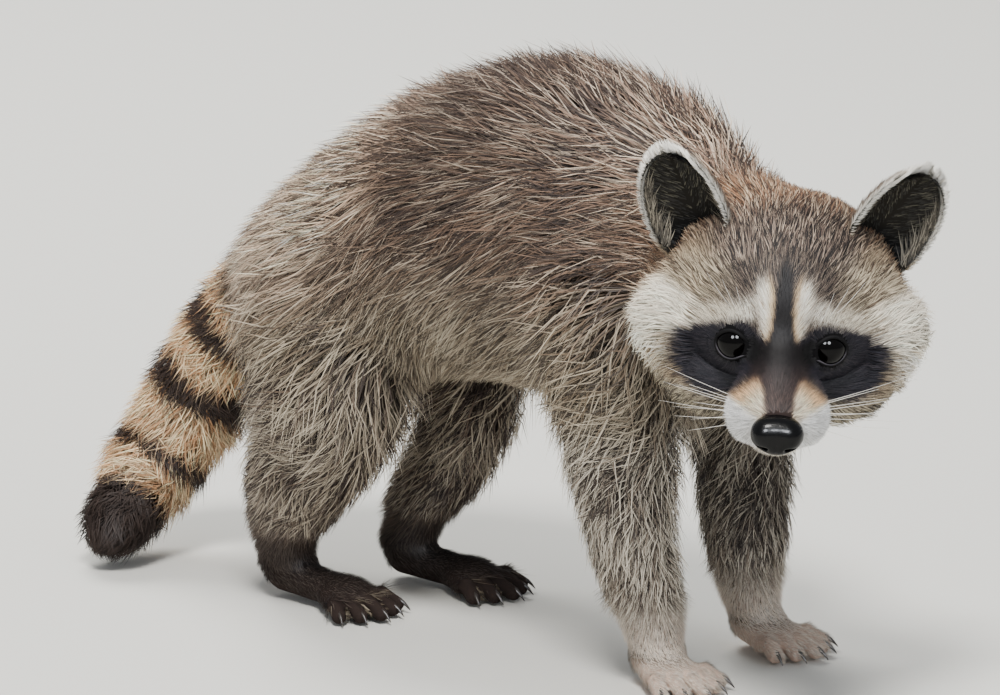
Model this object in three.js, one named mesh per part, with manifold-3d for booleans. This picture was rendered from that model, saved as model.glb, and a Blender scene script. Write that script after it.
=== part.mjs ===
// A young raccoon standing in mid-stride, its head low and turned to its right: a life-size still model.
// Millimetres, +Z up. +X is the animal's left, -Y the way its trunk points (nose end), the floor is Z = 0
// and the origin lies on the floor under the middle of the model's box.
// Every solid follows the outline of the coat out to the tips of its hairs.
import * as THREE from "three";
import { mergeVertices } from "three/addons/utils/BufferGeometryUtils.js";
import Module from "manifold-3d";

const wasm = await Module();
wasm.setup();

// ---------------------------------------------------------------- driving sizes
const GAP = 0.35; // clearance between neighbouring solids
const FLOOR = 0; // level that the feet and the tail tip rest on
const BOX_MIDDLE = [-10.640, 0.970]; // x, forward: where the middle of the model's box falls on the floor
const HEAD_YAW = 49; // degrees the head turns to the animal's right
const HEAD_PITCH = 15; // degrees the nose points below level
const HEAD_ROLL = 3.7; // degrees the crown leans to the animal's left
const HEAD_CENTRE = [-24.2, 149.8, 154.4]; // middle of the braincase, as x, forward, z
const EYE_RADIUS = 7.2;
const EYE_AT = [29.5, 16.5, -0.8]; // forward, left, up from the head centre
const NOSE_AT = [69, 0, -17.2];
const EAR_LENGTH = 40;
const EAR_WIDTH = 36;
const CELL = { trunk: 15, neck: 13.5, head: 7.8, leg: 11.5, tail: 12.5 };

// x is to the left, forward is away from the tail, z is up
const at = (x, forward, z) => new THREE.Vector3(x, -forward, z);
const rad = THREE.MathUtils.degToRad;
const lerp = THREE.MathUtils.lerp;

// ---------------------------------------------------------------- the head's own axes
const headAxes = (() => {
  const y = rad(HEAD_YAW), p = rad(HEAD_PITCH), r = rad(HEAD_ROLL);
  const f = at(-Math.sin(y) * Math.cos(p), Math.cos(y) * Math.cos(p), -Math.sin(p));
  const l0 = at(Math.cos(y), Math.sin(y), 0);
  const u0 = at(-Math.sin(y) * Math.sin(p), Math.cos(y) * Math.sin(p), Math.cos(p));
  const l = l0.clone().multiplyScalar(Math.cos(r)).addScaledVector(u0, -Math.sin(r));
  const u = u0.clone().multiplyScalar(Math.cos(r)).addScaledVector(l0, Math.sin(r));
  return { o: at(...HEAD_CENTRE), f, l, u };
})();
const onHead = (f, l, u) =>
  headAxes.o.clone().addScaledVector(headAxes.f, f).addScaledVector(headAxes.l, l).addScaledVector(headAxes.u, u);

// ---------------------------------------------------------------- fields: negative inside, about a distance
const ellipsoidDistance = (a, b, c, ra, rb, rc) => {
  const k0 = Math.hypot(a / ra, b / rb, c / rc);
  const k1 = Math.hypot(a / (ra * ra), b / (rb * rb), c / (rc * rc));
  return k1 < 1e-9 ? -Math.min(ra, rb, rc) : (k0 * (k0 - 1)) / k1;
};
const blend = (a, b, k) => {
  const h = Math.max(k - Math.abs(a - b), 0) / k;
  return Math.min(a, b) - (h * h * k) / 4;
};

// An ellipsoid in the head's axes.
const headBall = (f, l, u, rf, rl, ru) => {
  const c = onHead(f, l, u);
  return (p) => {
    const d = p.clone().sub(c);
    return ellipsoidDistance(d.dot(headAxes.f), d.dot(headAxes.l), d.dot(headAxes.u), rf, rl, ru);
  };
};

// A tube through stations [x, forward, z, half-width, half-depth]: half-width lies across the body.
const tube = (stations, endShare = 0.75, steps = 4) => {
  const curve = new THREE.CatmullRomCurve3(stations.map((s) => at(s[0], s[1], s[2])), false, "centripetal");
  const n = (stations.length - 1) * steps;
  const balls = [];
  for (let i = 0; i <= n; i++) {
    const t = i / n, at0 = t * (stations.length - 1), k = Math.min(Math.floor(at0), stations.length - 2), g = at0 - k;
    const s = g * g * (3 - 2 * g) * 0.5 + g * 0.5;
    balls.push({
      c: curve.getPoint(t),
      w: lerp(stations[k][3], stations[k + 1][3], s),
      h: lerp(stations[k][4], stations[k + 1][4], s),
    });
  }
  for (let i = 0; i < balls.length; i++) {
    const a = balls[Math.max(i - 1, 0)].c, b = balls[Math.min(i + 1, n)].c;
    const dir = b.clone().sub(a).normalize();
    const side = new THREE.Vector3(1, 0, 0).addScaledVector(dir, -dir.x).normalize();
    Object.assign(balls[i], { dir, side, deep: dir.clone().cross(side) });
  }
  return (p) => {
    let best = Infinity;
    for (let i = 0; i < balls.length - 1; i++) {
      const a = balls[i], b = balls[i + 1], d = b.c.clone().sub(a.c);
      const g = THREE.MathUtils.clamp(p.clone().sub(a.c).dot(d) / d.lengthSq(), 0, 1);
      const q = p.clone().sub(a.c).addScaledVector(d, -g);
      const w = lerp(a.w, b.w, g), h = lerp(a.h, b.h, g);
      const side = a.side.clone().lerp(b.side, g).normalize();
      const deep = a.deep.clone().lerp(b.deep, g).normalize();
      const dir = a.dir.clone().lerp(b.dir, g).normalize();
      const e = ellipsoidDistance(q.dot(side), q.dot(deep), q.dot(dir), w, h, Math.sqrt(w * h) * endShare);
      if (e < best) best = e;
    }
    return best;
  };
};

// ---------------------------------------------------------------- the animal's parts, to the tips of the coat
const trunkField = tube(
  [
    // x, forward, z, half-width, half-height
    [-2, 92, 148, 36, 62],
    [0, 52, 156, 51, 68],
    [0, 16, 158, 57, 67],
    [0, -25, 150, 58.5, 60],
    [0, -66, 134, 55.5, 50],
    [0, -98, 122.5, 46, 40],
    [0, -120, 117, 33, 30],
  ],
  0.62,
);
const neckField = tube(
  [
    [-3, 84, 150, 28, 46],
    [-9, 106, 153, 27, 44],
    [-15, 128, 152, 29, 38],
  ],
  0.6,
);
const carve = (a, b, k) => -blend(-a, b, k);
const headParts = [
  headBall(-6, 0, 3, 42, 42.5, 34.5), // braincase
  headBall(14, 0, 5, 24, 20, 22), // brow
  headBall(34, 0, -9.5, 23, 14.5, 14.3), // root of the muzzle
  headBall(49, 0, -15.5, 21.5, 13.6, 11), // muzzle
  headBall(52.5, 8.2, -18.8, 14.3, 10.8, 8.6), // lips, left and right
  headBall(52.5, -8.2, -18.8, 14.3, 10.8, 8.6),
  headBall(41, 0, -26.2, 20.5, 11.8, 7.6), // lower jaw
  headBall(4, 30, -9, 24, 27, 22), // cheek ruffs
  headBall(4, -30, -9, 24, 27, 22),
  headBall(2, 0, -24, 34, 36, 21), // throat
  headBall(12, 21, -24, 23, 23, 16), // fur below the cheeks
  headBall(12, -21, -24, 23, 23, 16),
];
const eyeHollows = [headBall(43.5, 19, 0.5, 11, 10.8, 9.5), headBall(43.5, -19, 0.5, 11, 10.8, 9.5)];
const headField = (p) => {
  const d = headParts.reduce((m, part) => blend(m, part(p), 8), Infinity);
  return eyeHollows.reduce((m, hollow) => carve(m, hollow(p), 5), d);
};

const LEGS = {
  foreleg_right: [
    [-30, 80, 145, 25, 34],
    [-33, 80, 112, 23, 28],
    [-32, 80, 84, 19, 22],
    [-30, 82, 54, 15.5, 17],
    [-26, 88, 26, 13, 13],
    [-27, 92, 14, 11, 10],
  ],
  foreleg_left: [
    [30, 80, 145, 25, 34],
    [35, 79, 112, 23, 27],
    [36, 78, 84, 19, 21],
    [36, 79, 54, 16.5, 17],
    [35, 82, 26, 13, 13],
    [34, 86, 14, 10.5, 10],
  ],
  hindleg_right: [
    [-30, -68, 125, 28, 44],
    [-37, -62, 100, 28, 41],
    [-38, -66, 76, 22, 31],
    [-36, -82, 50, 18, 22],
    [-33, -92, 30, 13.5, 15],
    [-32, -93, 16, 11, 12],
  ],
  hindleg_left: [
    [28, -62, 122, 27, 40],
    [32, -59, 98, 24, 31],
    [31, -54, 76, 18, 22],
    [26, -61, 50, 15, 17],
    [20, -72, 30, 12.5, 13.5],
    [17, -77, 16, 10.5, 11.5],
  ],
};
const legFields = Object.fromEntries(Object.entries(LEGS).map(([k, s]) => [k, tube(s, 0.8)]));
const tailField = tube(
  [
    [0, -108, 126, 21, 21],
    [0, -131, 110, 22, 22],
    [-2, -153, 84, 23, 23],
    [-8, -167, 56, 23.5, 23.5],
    [-24, -175, 31, 21.5, 21.5],
    [-46, -171, 16, 16, 15.5],
  ],
  0.95,
);

const flesh = (p) => {
  let d = blend(trunkField(p), neckField(p), 16);
  for (const leg of Object.values(legFields)) d = blend(d, leg(p), 16);
  d = blend(d, tailField(p), 12);
  return blend(d, headField(p), 10);
};

// ---------------------------------------------------------------- a field's surface as one closed mesh of quads
const surface = (field, lo, hi, cell) => {
  const n = [0, 1, 2].map((k) => Math.ceil((hi.getComponent(k) - lo.getComponent(k)) / cell) + 1);
  const index = (i, j, k) => (k * n[1] + j) * n[0] + i;
  const value = new Float32Array(n[0] * n[1] * n[2]);
  const p = new THREE.Vector3();
  for (let k = 0; k < n[2]; k++)
    for (let j = 0; j < n[1]; j++)
      for (let i = 0; i < n[0]; i++) {
        const edge = i === 0 || j === 0 || k === 0 || i === n[0] - 1 || j === n[1] - 1 || k === n[2] - 1;
        p.set(lo.x + i * cell, lo.y + j * cell, lo.z + k * cell);
        value[index(i, j, k)] = edge ? Math.max(field(p), cell * 0.5) : field(p);
      }
  const vertexOf = new Int32Array(value.length).fill(-1);
  const vertices = [];
  const corners = [];
  for (let c = 0; c < 8; c++) corners.push([c & 1, (c >> 1) & 1, c >> 2]);
  for (let k = 0; k < n[2] - 1; k++)
    for (let j = 0; j < n[1] - 1; j++)
      for (let i = 0; i < n[0] - 1; i++) {
        const sum = [0, 0, 0];
        let hits = 0;
        for (let a = 0; a < 8; a++)
          for (let axis = 0; axis < 3; axis++) {
            if (corners[a][axis]) continue;
            const b = a | (1 << axis);
            const va = value[index(i + corners[a][0], j + corners[a][1], k + corners[a][2])];
            const vb = value[index(i + corners[b][0], j + corners[b][1], k + corners[b][2])];
            if (va < 0 === vb < 0) continue;
            const t = va / (va - vb);
            for (let m = 0; m < 3; m++) sum[m] += corners[a][m] + (m === axis ? t : 0);
            hits++;
          }
        if (!hits) continue;
        vertexOf[index(i, j, k)] = vertices.length / 3;
        vertices.push(
          lo.x + (i + sum[0] / hits) * cell,
          lo.y + (j + sum[1] / hits) * cell,
          lo.z + (k + sum[2] / hits) * cell,
        );
      }
  const v = new THREE.Vector3(), w = new THREE.Vector3();
  // each vertex slides onto the true surface
  for (let i = 0; i < vertices.length; i += 3) {
    v.fromArray(vertices, i);
    for (let pass = 0; pass < 2; pass++) {
      const h = 0.5, d = field(v);
      const g = new THREE.Vector3(
        field(w.copy(v).setX(v.x + h)) - d,
        field(w.copy(v).setY(v.y + h)) - d,
        field(w.copy(v).setZ(v.z + h)) - d,
      ).multiplyScalar(1 / h);
      if (g.lengthSq() < 0.05) break;
      const step = THREE.MathUtils.clamp(-d / g.lengthSq(), -cell * 0.35, cell * 0.35);
      v.addScaledVector(g, step);
    }
    v.toArray(vertices, i);
  }
  const faces = [];
  const quad = (a, b, c, d, flip) => {
    if (flip) [b, d] = [d, b];
    const A = v.fromArray(vertices, a * 3).clone(), C = v.fromArray(vertices, c * 3).clone();
    const B = v.fromArray(vertices, b * 3).clone(), D = v.fromArray(vertices, d * 3).clone();
    if (A.distanceTo(C) <= B.distanceTo(D)) faces.push(a, b, c, a, c, d);
    else faces.push(b, c, d, b, d, a);
  };
  for (let k = 0; k < n[2] - 1; k++)
    for (let j = 0; j < n[1] - 1; j++)
      for (let i = 0; i < n[0] - 1; i++) {
        const here = value[index(i, j, k)] < 0;
        if (j && k && here !== value[index(i + 1, j, k)] < 0)
          quad(vertexOf[index(i, j - 1, k - 1)], vertexOf[index(i, j, k - 1)], vertexOf[index(i, j, k)], vertexOf[index(i, j - 1, k)], !here);
        if (i && k && here !== value[index(i, j + 1, k)] < 0)
          quad(vertexOf[index(i - 1, j, k - 1)], vertexOf[index(i - 1, j, k)], vertexOf[index(i, j, k)], vertexOf[index(i, j, k - 1)], !here);
        if (i && j && here !== value[index(i, j, k + 1)] < 0)
          quad(vertexOf[index(i - 1, j - 1, k)], vertexOf[index(i, j - 1, k)], vertexOf[index(i, j, k)], vertexOf[index(i - 1, j, k)], !here);
      }
  return new THREE.BufferGeometry()
    .setAttribute("position", new THREE.Float32BufferAttribute(vertices, 3))
    .setIndex(faces);
};

// ---------------------------------------------------------------- solids
const solidOf = (geometry) => {
  const bare = geometry.clone();
  for (const name of ["normal", "uv"]) bare.deleteAttribute(name);
  const merged = mergeVertices(bare, 1e-4);
  return new wasm.Manifold(
    new wasm.Mesh({
      numProp: 3,
      vertProperties: new Float32Array(merged.attributes.position.array),
      triVerts: new Uint32Array(merged.index.array),
    }),
  );
};
const largest = (solid) => solid.decompose().sort((a, b) => b.volume() - a.volume())[0];
const SHORTEST_EDGE = 0.05; // edges shorter than this are drawn to a point
const geometryOf = (solid) => {
  const m = solid.getMesh();
  const v = new Float32Array(m.numVert * 3);
  for (let i = 0; i < m.numVert; i++)
    v.set(m.vertProperties.subarray(i * m.numProp, i * m.numProp + 3), i * 3);
  const rest = Int32Array.from({ length: m.numVert }, (_, i) => i);
  const home = (i) => (rest[i] === i ? i : (rest[i] = home(rest[i])));
  const edge = (a, b) => Math.hypot(v[a * 3] - v[b * 3], v[a * 3 + 1] - v[b * 3 + 1], v[a * 3 + 2] - v[b * 3 + 2]);
  for (let i = 0; i < m.triVerts.length; i += 3)
    for (let k = 0; k < 3; k++) {
      const a = home(m.triVerts[i + k]), b = home(m.triVerts[i + ((k + 1) % 3)]);
      if (a !== b && edge(a, b) < SHORTEST_EDGE) rest[Math.max(a, b)] = Math.min(a, b);
    }
  const faces = [];
  for (let i = 0; i < m.triVerts.length; i += 3) {
    const [a, b, c] = [0, 1, 2].map((k) => home(m.triVerts[i + k]));
    if (a !== b && b !== c && c !== a) faces.push(a, b, c);
  }
  const g = new THREE.BufferGeometry()
    .setAttribute("position", new THREE.BufferAttribute(v, 3))
    .setIndex(new THREE.BufferAttribute(new Uint32Array(faces), 1));
  g.computeVertexNormals();
  return g;
};

// A block whose face passes through point, with everything on the side of normal inside it.
const beyond = (point, normal, offset = 0, size = 600) => {
  const g = new THREE.BoxGeometry(size, size, size);
  g.translate(0, 0, size / 2 + offset);
  g.applyQuaternion(new THREE.Quaternion().setFromUnitVectors(new THREE.Vector3(0, 0, 1), normal.clone().normalize()));
  g.translate(point.x, point.y, point.z);
  return solidOf(g);
};
const keepSide = (solid, point, normal) => solid.intersect(beyond(point, normal, GAP / 2));
const dropSide = (solid, point, normal) => solid.subtract(beyond(point, normal, -GAP / 2));

// A box between two corners given as x, forward, z; grown by a margin on every side.
const block = (a, b, grow = 0) => {
  const lo = at(...a).min(at(...b)), hi = at(...a).max(at(...b));
  const size = hi.clone().sub(lo).addScalar(2 * grow);
  const g = new THREE.BoxGeometry(size.x, size.y, size.z);
  const mid = lo.add(hi).multiplyScalar(0.5);
  g.translate(mid.x, mid.y, mid.z);
  return solidOf(g);
};
const aboveFloor = (solid) => dropSide(solid, at(0, 0, FLOOR - GAP / 2), new THREE.Vector3(0, 0, -1));

// ---- the flesh at each region's own fineness
const bounds = (a, b) => [at(...a).min(at(...b)), at(...a).max(at(...b))];
const bodyMesh = solidOf(surface(flesh, ...bounds([-85, 165, 40], [85, -175, 245]), CELL.trunk));
const headMesh = solidOf(surface(flesh, ...bounds([-110, 205, 75], [45, 85, 232]), CELL.head));
const neckMesh = solidOf(surface(flesh, ...bounds([-90, 190, 80], [75, 60, 245]), CELL.neck));
const legMesh = (s) => {
  const side = s.map((q) => q[0]), fore = s.map((q) => q[1]);
  return solidOf(
    surface(
      flesh,
      ...bounds([Math.min(...side) - 42, Math.max(...fore) + 52, -16], [Math.max(...side) + 42, Math.min(...fore) - 52, 168]),
      CELL.leg,
    ),
  );
};
const tailMesh = solidOf(surface(flesh, ...bounds([-80, -80, -16], [50, -222, 165]), CELL.tail));

// ---- planes that part the animal
const NECK_BACK = { point: at(-2, 98, 160), normal: at(-0.22, 1, 0.05) }; // trunk | neck
const NECK_FRONT = { point: onHead(-27, 0, 0), normal: headAxes.f.clone().multiplyScalar(1).addScaledVector(headAxes.u, 0.25) }; // neck | head
const TAIL_CUTS = [
  { point: at(0, -128, 113), normal: at(0, -0.75, -0.66) },
  { point: at(-1, -151, 84), normal: at(-0.1, -0.58, -0.8) },
  { point: at(-9, -167, 51), normal: at(-0.32, -0.36, -0.87) },
];
// each leg's own space, wide enough for the whole limb and clear of its neighbours
const LEG_SPACE = {
  foreleg_right: { box: [[-90, 136, -5], [-4, 44, 118]], tilt: { point: at(-20, 80, 104), normal: at(-0.62, 0, -0.78) } },
  foreleg_left: { box: [[4, 136, -5], [90, 44, 118]], tilt: { point: at(20, 79, 104), normal: at(0.62, 0, -0.78) } },
  hindleg_right: { box: [[-90, -8, -5], [-1, -128, 132]], tilt: { point: at(-26, -60, 108), normal: at(-0.72, 0, -0.69) } },
  hindleg_left: { box: [[1, -2, -5], [90, -118, 132]], tilt: { point: at(26, -56, 108), normal: at(0.72, 0, -0.69) } },
};
const LEG_CUTS = {
  foreleg_right: [[at(-32, 79, 78), at(0, 0.08, -1)], [at(-27, 88, 25), at(0, 0.2, -1)]],
  foreleg_left: [[at(34, 77, 78), at(0, 0.05, -1)], [at(33, 81, 25), at(0, 0.2, -1)]],
  hindleg_right: [[at(-38, -64, 72), at(0, -0.35, -1)], [at(-32, -92, 24), at(0, 0.3, -1)]],
  hindleg_left: [[at(31, -53, 72), at(-0.1, -0.3, -1)], [at(18, -76, 24), at(0, 0.3, -1)]],
};
const legSpace = (name, grow) => {
  const s = LEG_SPACE[name];
  const box = block(...s.box, grow);
  return box.intersect(beyond(s.tilt.point, s.tilt.normal, -grow));
};

// ---- paws: a flat pad, five toes and their claws
const onWay = (g, from, to) => {
  g.applyQuaternion(new THREE.Quaternion().setFromUnitVectors(new THREE.Vector3(0, 1, 0), to.clone().sub(from).normalize()));
  const m = from.clone().add(to).multiplyScalar(0.5);
  return solidOf(g.translate(m.x, m.y, m.z));
};
const capsule = (a, b, radius, round = 1, sides = 6) => onWay(new THREE.CapsuleGeometry(radius, a.distanceTo(b), round, sides), a, b);
const claw = (root, tip, radius) => onWay(new THREE.ConeGeometry(radius, root.distanceTo(tip), 3), root, tip);
const TOES = [-2, -1, 0, 1, 2]; // inner to outer
const paw = ({ heel, ball, heading, width, toe, claw: clawLength, heelRadius, ballRadius }) => {
  const turn = rad(heading);
  const forward = at(-Math.sin(turn), Math.cos(turn), 0), side = at(Math.cos(turn), Math.sin(turn), 0);
  const H = at(...heel), B = at(...ball);
  const palm = new THREE.SphereGeometry(1, 8, 5);
  palm.rotateX(Math.PI / 2);
  palm.scale(width, ballRadius * 1.5, ballRadius);
  palm.rotateZ(turn);
  palm.translate(B.x, B.y, B.z);
  let solid = capsule(H, B, heelRadius, 1, 7).add(solidOf(palm));
  for (const i of TOES) {
    const spread = rad(i * 13);
    const way = forward.clone().multiplyScalar(Math.cos(spread)).addScaledVector(side, Math.sin(spread));
    const long = toe * (1 - 0.055 * i * i);
    const root = B.clone().addScaledVector(side, i * width * 0.4).addScaledVector(forward, ballRadius * 0.8 - Math.abs(i) * 1.6);
    const end = root.clone().addScaledVector(way, long).setZ(3.2);
    const tip = end.clone().addScaledVector(way, clawLength).setZ(0.7);
    solid = solid.add(capsule(root.setZ(B.z - 1.6), end, 3.4, 1, 5)).add(claw(end.clone().addScaledVector(way, 0.8).setZ(4.0), tip, 1.7));
  }
  return solid;
};
const PAWS = {
  foreleg_right: { name: "forepaw_right", heel: [-28, 90, 8], ball: [-30, 100, 6.4], heading: 8, width: 11.5, toe: 15, claw: 6, heelRadius: 8, ballRadius: 6.6 },
  foreleg_left: { name: "forepaw_left", heel: [34.5, 84, 8], ball: [34.5, 94, 6.4], heading: -4, width: 11.5, toe: 15, claw: 6, heelRadius: 8, ballRadius: 6.6 },
  hindleg_right: { name: "hindfoot_right", heel: [-32, -93, 9], ball: [-34, -60, 6.6], heading: 6, width: 11.5, toe: 15, claw: 5.5, heelRadius: 8.5, ballRadius: 6.8 },
  hindleg_left: { name: "hindfoot_left", heel: [17, -77, 9], ball: [18, -44, 6.6], heading: -4, width: 11.5, toe: 15, claw: 5.5, heelRadius: 8.5, ballRadius: 6.8 },
};

// ---- eyes and nose pad, and the hollows that they sit in
const eye = (side, grow = 0) => {
  const g = new THREE.SphereGeometry(EYE_RADIUS + grow, 10, 7);
  const c = onHead(EYE_AT[0], side * EYE_AT[1], EYE_AT[2]);
  g.translate(c.x, c.y, c.z);
  return solidOf(g);
};
const nose = (grow = 0) => {
  const g = new THREE.SphereGeometry(1, 11, 7);
  g.rotateX(Math.PI / 2);
  g.applyMatrix4(
    new THREE.Matrix4()
      .makeBasis(headAxes.f.clone().multiplyScalar(7 + grow), headAxes.l.clone().multiplyScalar(9.4 + grow), headAxes.u.clone().multiplyScalar(7 + grow))
      .setPosition(onHead(...NOSE_AT)),
  );
  return solidOf(g);
};

// ---- ears: a cupped leaf with a rounded tip, thicker at the root
const ear = (side) => {
  const across = 6, along = 7;
  const tilt = rad(side > 0 ? 33 : 27), lean = rad(8), turn = rad(24);
  // up the ear, across it, and the way its hollow faces, in the head's axes
  const up = new THREE.Vector3(-Math.sin(lean), side * Math.sin(tilt), Math.cos(tilt)).normalize();
  const face0 = new THREE.Vector3(Math.cos(turn), side * Math.sin(turn), 0);
  const wide = up.clone().cross(face0).normalize();
  const face = wide.clone().cross(up).normalize();
  const root = new THREE.Vector3(-9, side * 28.6, 17.2);
  const place = (a, b, c) =>
    onHead(...root.clone().addScaledVector(up, a).addScaledVector(wide, b).addScaledVector(face, c).toArray());
  const halfWidth = (t) =>
    (EAR_WIDTH / 2) * (t < 0.3 ? lerp(0.86, 1, Math.sin((t / 0.3) * Math.PI * 0.5)) : Math.sqrt(Math.max(1 - ((t - 0.3) / 0.7) ** 2.3, 0)));
  const vertices = [], faces = [];
  const rings = [];
  const FOOT = -14; // the root runs on into the head
  for (let j = 0; j < along; j++) {
    const t = 1 - (1 - j / along) ** 1.25, w = j === 0 ? halfWidth(0) : halfWidth(t);
    const cup = lerp(10, 3.5, t), thick = lerp(5.2, 2.6, t);
    const ring = [];
    for (let i = 0; i <= across; i++) {
      const x = (i / across) * 2 - 1;
      ring.push([EAR_LENGTH * t + (j === 0 ? FOOT : 0), w * Math.sin((x * Math.PI) / 2), cup * x * x - cup * 0.3 - thick * 0.5 * (1 - x ** 6)]);
    }
    for (let i = across - 1; i >= 1; i--) {
      const x = (i / across) * 2 - 1;
      ring.push([EAR_LENGTH * t + (j === 0 ? FOOT : 0), w * 0.97 * Math.sin((x * Math.PI) / 2), cup * x * x - cup * 0.3 + thick * 0.5 * (1 - x ** 6)]);
    }
    rings.push(ring);
  }
  const push = (q) => vertices.push(...place(...q).toArray());
  rings.forEach((ring) => ring.forEach(push));
  const m = rings[0].length;
  for (let j = 0; j < rings.length - 1; j++)
    for (let i = 0; i < m; i++) {
      const a = j * m + i, b = j * m + ((i + 1) % m), c = a + m, d = b + m;
      faces.push(a, b, d, a, d, c);
    }
  push([EAR_LENGTH, 0, -0.5]);
  const top = vertices.length / 3 - 1;
  push([FOOT, 0, 0]);
  const foot = top + 1;
  for (let i = 0; i < m; i++) {
    faces.push((rings.length - 1) * m + i, (rings.length - 1) * m + ((i + 1) % m), top);
    faces.push((i + 1) % m, i, foot);
  }
  const g = new THREE.BufferGeometry().setAttribute("position", new THREE.Float32BufferAttribute(vertices, 3)).setIndex(faces);
  let s = solidOf(g);
  if (s.volume() < 0) {
    for (let i = 0; i < faces.length; i += 3) [faces[i + 1], faces[i + 2]] = [faces[i + 2], faces[i + 1]];
    g.setIndex(faces);
    s = solidOf(g);
  }
  return s;
};

// ---------------------------------------------------------------- assembly
const COLOURS = {
  back: [0x6f6258, 0.9], flank: [0x8a7c6e, 0.9], neck: [0x776859, 0.9], head: [0xa3968a, 0.88], leg: [0x80766c, 0.9],
  paw: [0x6a5f57, 0.85], hindpaw: [0x42352d, 0.85], ring: [0xa08365, 0.9], dark: [0x2e2522, 0.9], ear: [0xcfc8bc, 0.85],
  eye: [0x0b0908, 0.06], nose: [0x101012, 0.25],
};
const raccoon = new THREE.Group();
raccoon.position.copy(at(-BOX_MIDDLE[0], -BOX_MIDDLE[1], 0));
const add = (name, solid, look) => {
  const [color, roughness] = COLOURS[look];
  const mesh = new THREE.Mesh(geometryOf(solid), new THREE.MeshStandardMaterial({ color, roughness, metalness: 0 }));
  mesh.name = name;
  raccoon.add(mesh);
};

// trunk, less the legs, neck and tail
let trunk = dropSide(bodyMesh, NECK_BACK.point, NECK_BACK.normal);
for (const name of Object.keys(LEG_SPACE)) trunk = trunk.subtract(legSpace(name, GAP / 2));
trunk = dropSide(trunk, TAIL_CUTS[0].point, TAIL_CUTS[0].normal);
trunk = largest(trunk);
const WAIST = { point: at(0, -28, 150), normal: at(0, -1, 0) };
add("chest", largest(dropSide(trunk, WAIST.point, WAIST.normal)), "back");
add("rump", largest(keepSide(trunk, WAIST.point, WAIST.normal)), "back");

const neck = keepSide(dropSide(neckMesh, NECK_FRONT.point, NECK_FRONT.normal), NECK_BACK.point, NECK_BACK.normal);
let neckSolid = neck;
for (const name of ["foreleg_right", "foreleg_left"]) neckSolid = neckSolid.subtract(legSpace(name, GAP / 2));
add("neck", largest(neckSolid), "neck");

// head with sockets for eyes and nose pad
let head = keepSide(keepSide(headMesh, NECK_FRONT.point, NECK_FRONT.normal), NECK_BACK.point, NECK_BACK.normal);
head = head.intersect(block([-120, 215, 60], [60, 92, 240]));
for (const name of ["foreleg_right", "foreleg_left"]) head = head.subtract(legSpace(name, GAP / 2));
for (const side of [1, -1]) head = head.subtract(eye(side, GAP));
head = largest(head.subtract(nose(GAP)));
add("head", head, "head");
for (const [side, name] of [[1, "left"], [-1, "right"]]) add("eye_" + name, eye(side), "eye");
add("nose_pad", nose(), "nose");

// ears stand on the coat of the crown
const crown = solidOf(surface((p) => flesh(p) - 0.5, ...bounds([-110, 205, 75], [45, 85, 232]), CELL.head));
const headBlock = head;
for (const [side, name] of [[1, "left"], [-1, "right"]]) add("ear_" + name, largest(ear(side).subtract(crown)), "ear");

// legs, each in three lengths
for (const [name, cuts] of Object.entries(LEG_CUTS)) {
  const foot = aboveFloor(paw(PAWS[name]));
  let limb = legMesh(LEGS[name]).intersect(legSpace(name, -GAP / 2));
  const [top, low] = cuts;
  const fore = name.startsWith("fore");
  add(name.replace("leg_", fore ? "leg_upper_" : "leg_thigh_"), largest(dropSide(limb, ...top)), "flank");
  add(name.replace("leg_", fore ? "leg_lower_" : "leg_shank_"), largest(dropSide(keepSide(limb, ...top), ...low)), "leg");
  const cuff = aboveFloor(keepSide(limb, ...low));
  const pawSolid = keepSide(foot, ...low);
  add(PAWS[name].name, largest(largest(cuff).add(largest(pawSolid))), fore ? "paw" : "hindpaw");
}

// tail in three lengths
let tail = keepSide(aboveFloor(tailMesh), TAIL_CUTS[0].point, TAIL_CUTS[0].normal);
for (const name of ["hindleg_right", "hindleg_left"]) tail = tail.subtract(legSpace(name, GAP / 2));
tail = largest(tail);
["tail_base", "tail_middle", "tail_tip"].forEach((name, i) => {
  let piece = i ? keepSide(tail, TAIL_CUTS[i].point, TAIL_CUTS[i].normal) : tail;
  if (i < 2) piece = dropSide(piece, TAIL_CUTS[i + 1].point, TAIL_CUTS[i + 1].normal);
  add(name, largest(piece), i === 2 ? "dark" : "ring");
});

export default raccoon;
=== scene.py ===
"""A young raccoon in mid-stride, its head low and turned to its right, as a life-size still model.

One skin stands for all the flesh. It lies inside the solids by the depth of the coat, and the coat is solid mesh tufts over it.
Lengths here are in millimetres, in the frame the solids were drawn in; world() gives metres in the row frame.
+X is the animal's left, -Y the way its trunk points, and the floor is Z = 0.
"""

import math

import bpy
import numpy as np
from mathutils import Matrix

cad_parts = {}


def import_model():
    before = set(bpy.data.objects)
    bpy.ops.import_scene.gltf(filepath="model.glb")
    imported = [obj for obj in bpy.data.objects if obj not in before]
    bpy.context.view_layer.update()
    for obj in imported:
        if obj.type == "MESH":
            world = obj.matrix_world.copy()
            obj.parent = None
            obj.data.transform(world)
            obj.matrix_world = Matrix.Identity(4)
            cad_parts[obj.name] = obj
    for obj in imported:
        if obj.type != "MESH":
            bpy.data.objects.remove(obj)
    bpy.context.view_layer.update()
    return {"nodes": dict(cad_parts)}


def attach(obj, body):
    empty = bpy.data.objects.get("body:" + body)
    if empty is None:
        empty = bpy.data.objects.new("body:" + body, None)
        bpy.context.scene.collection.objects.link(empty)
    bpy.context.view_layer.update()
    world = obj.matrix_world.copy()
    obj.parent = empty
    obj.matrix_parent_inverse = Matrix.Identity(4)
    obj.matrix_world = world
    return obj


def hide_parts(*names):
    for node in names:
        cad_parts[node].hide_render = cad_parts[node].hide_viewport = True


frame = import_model()

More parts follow.
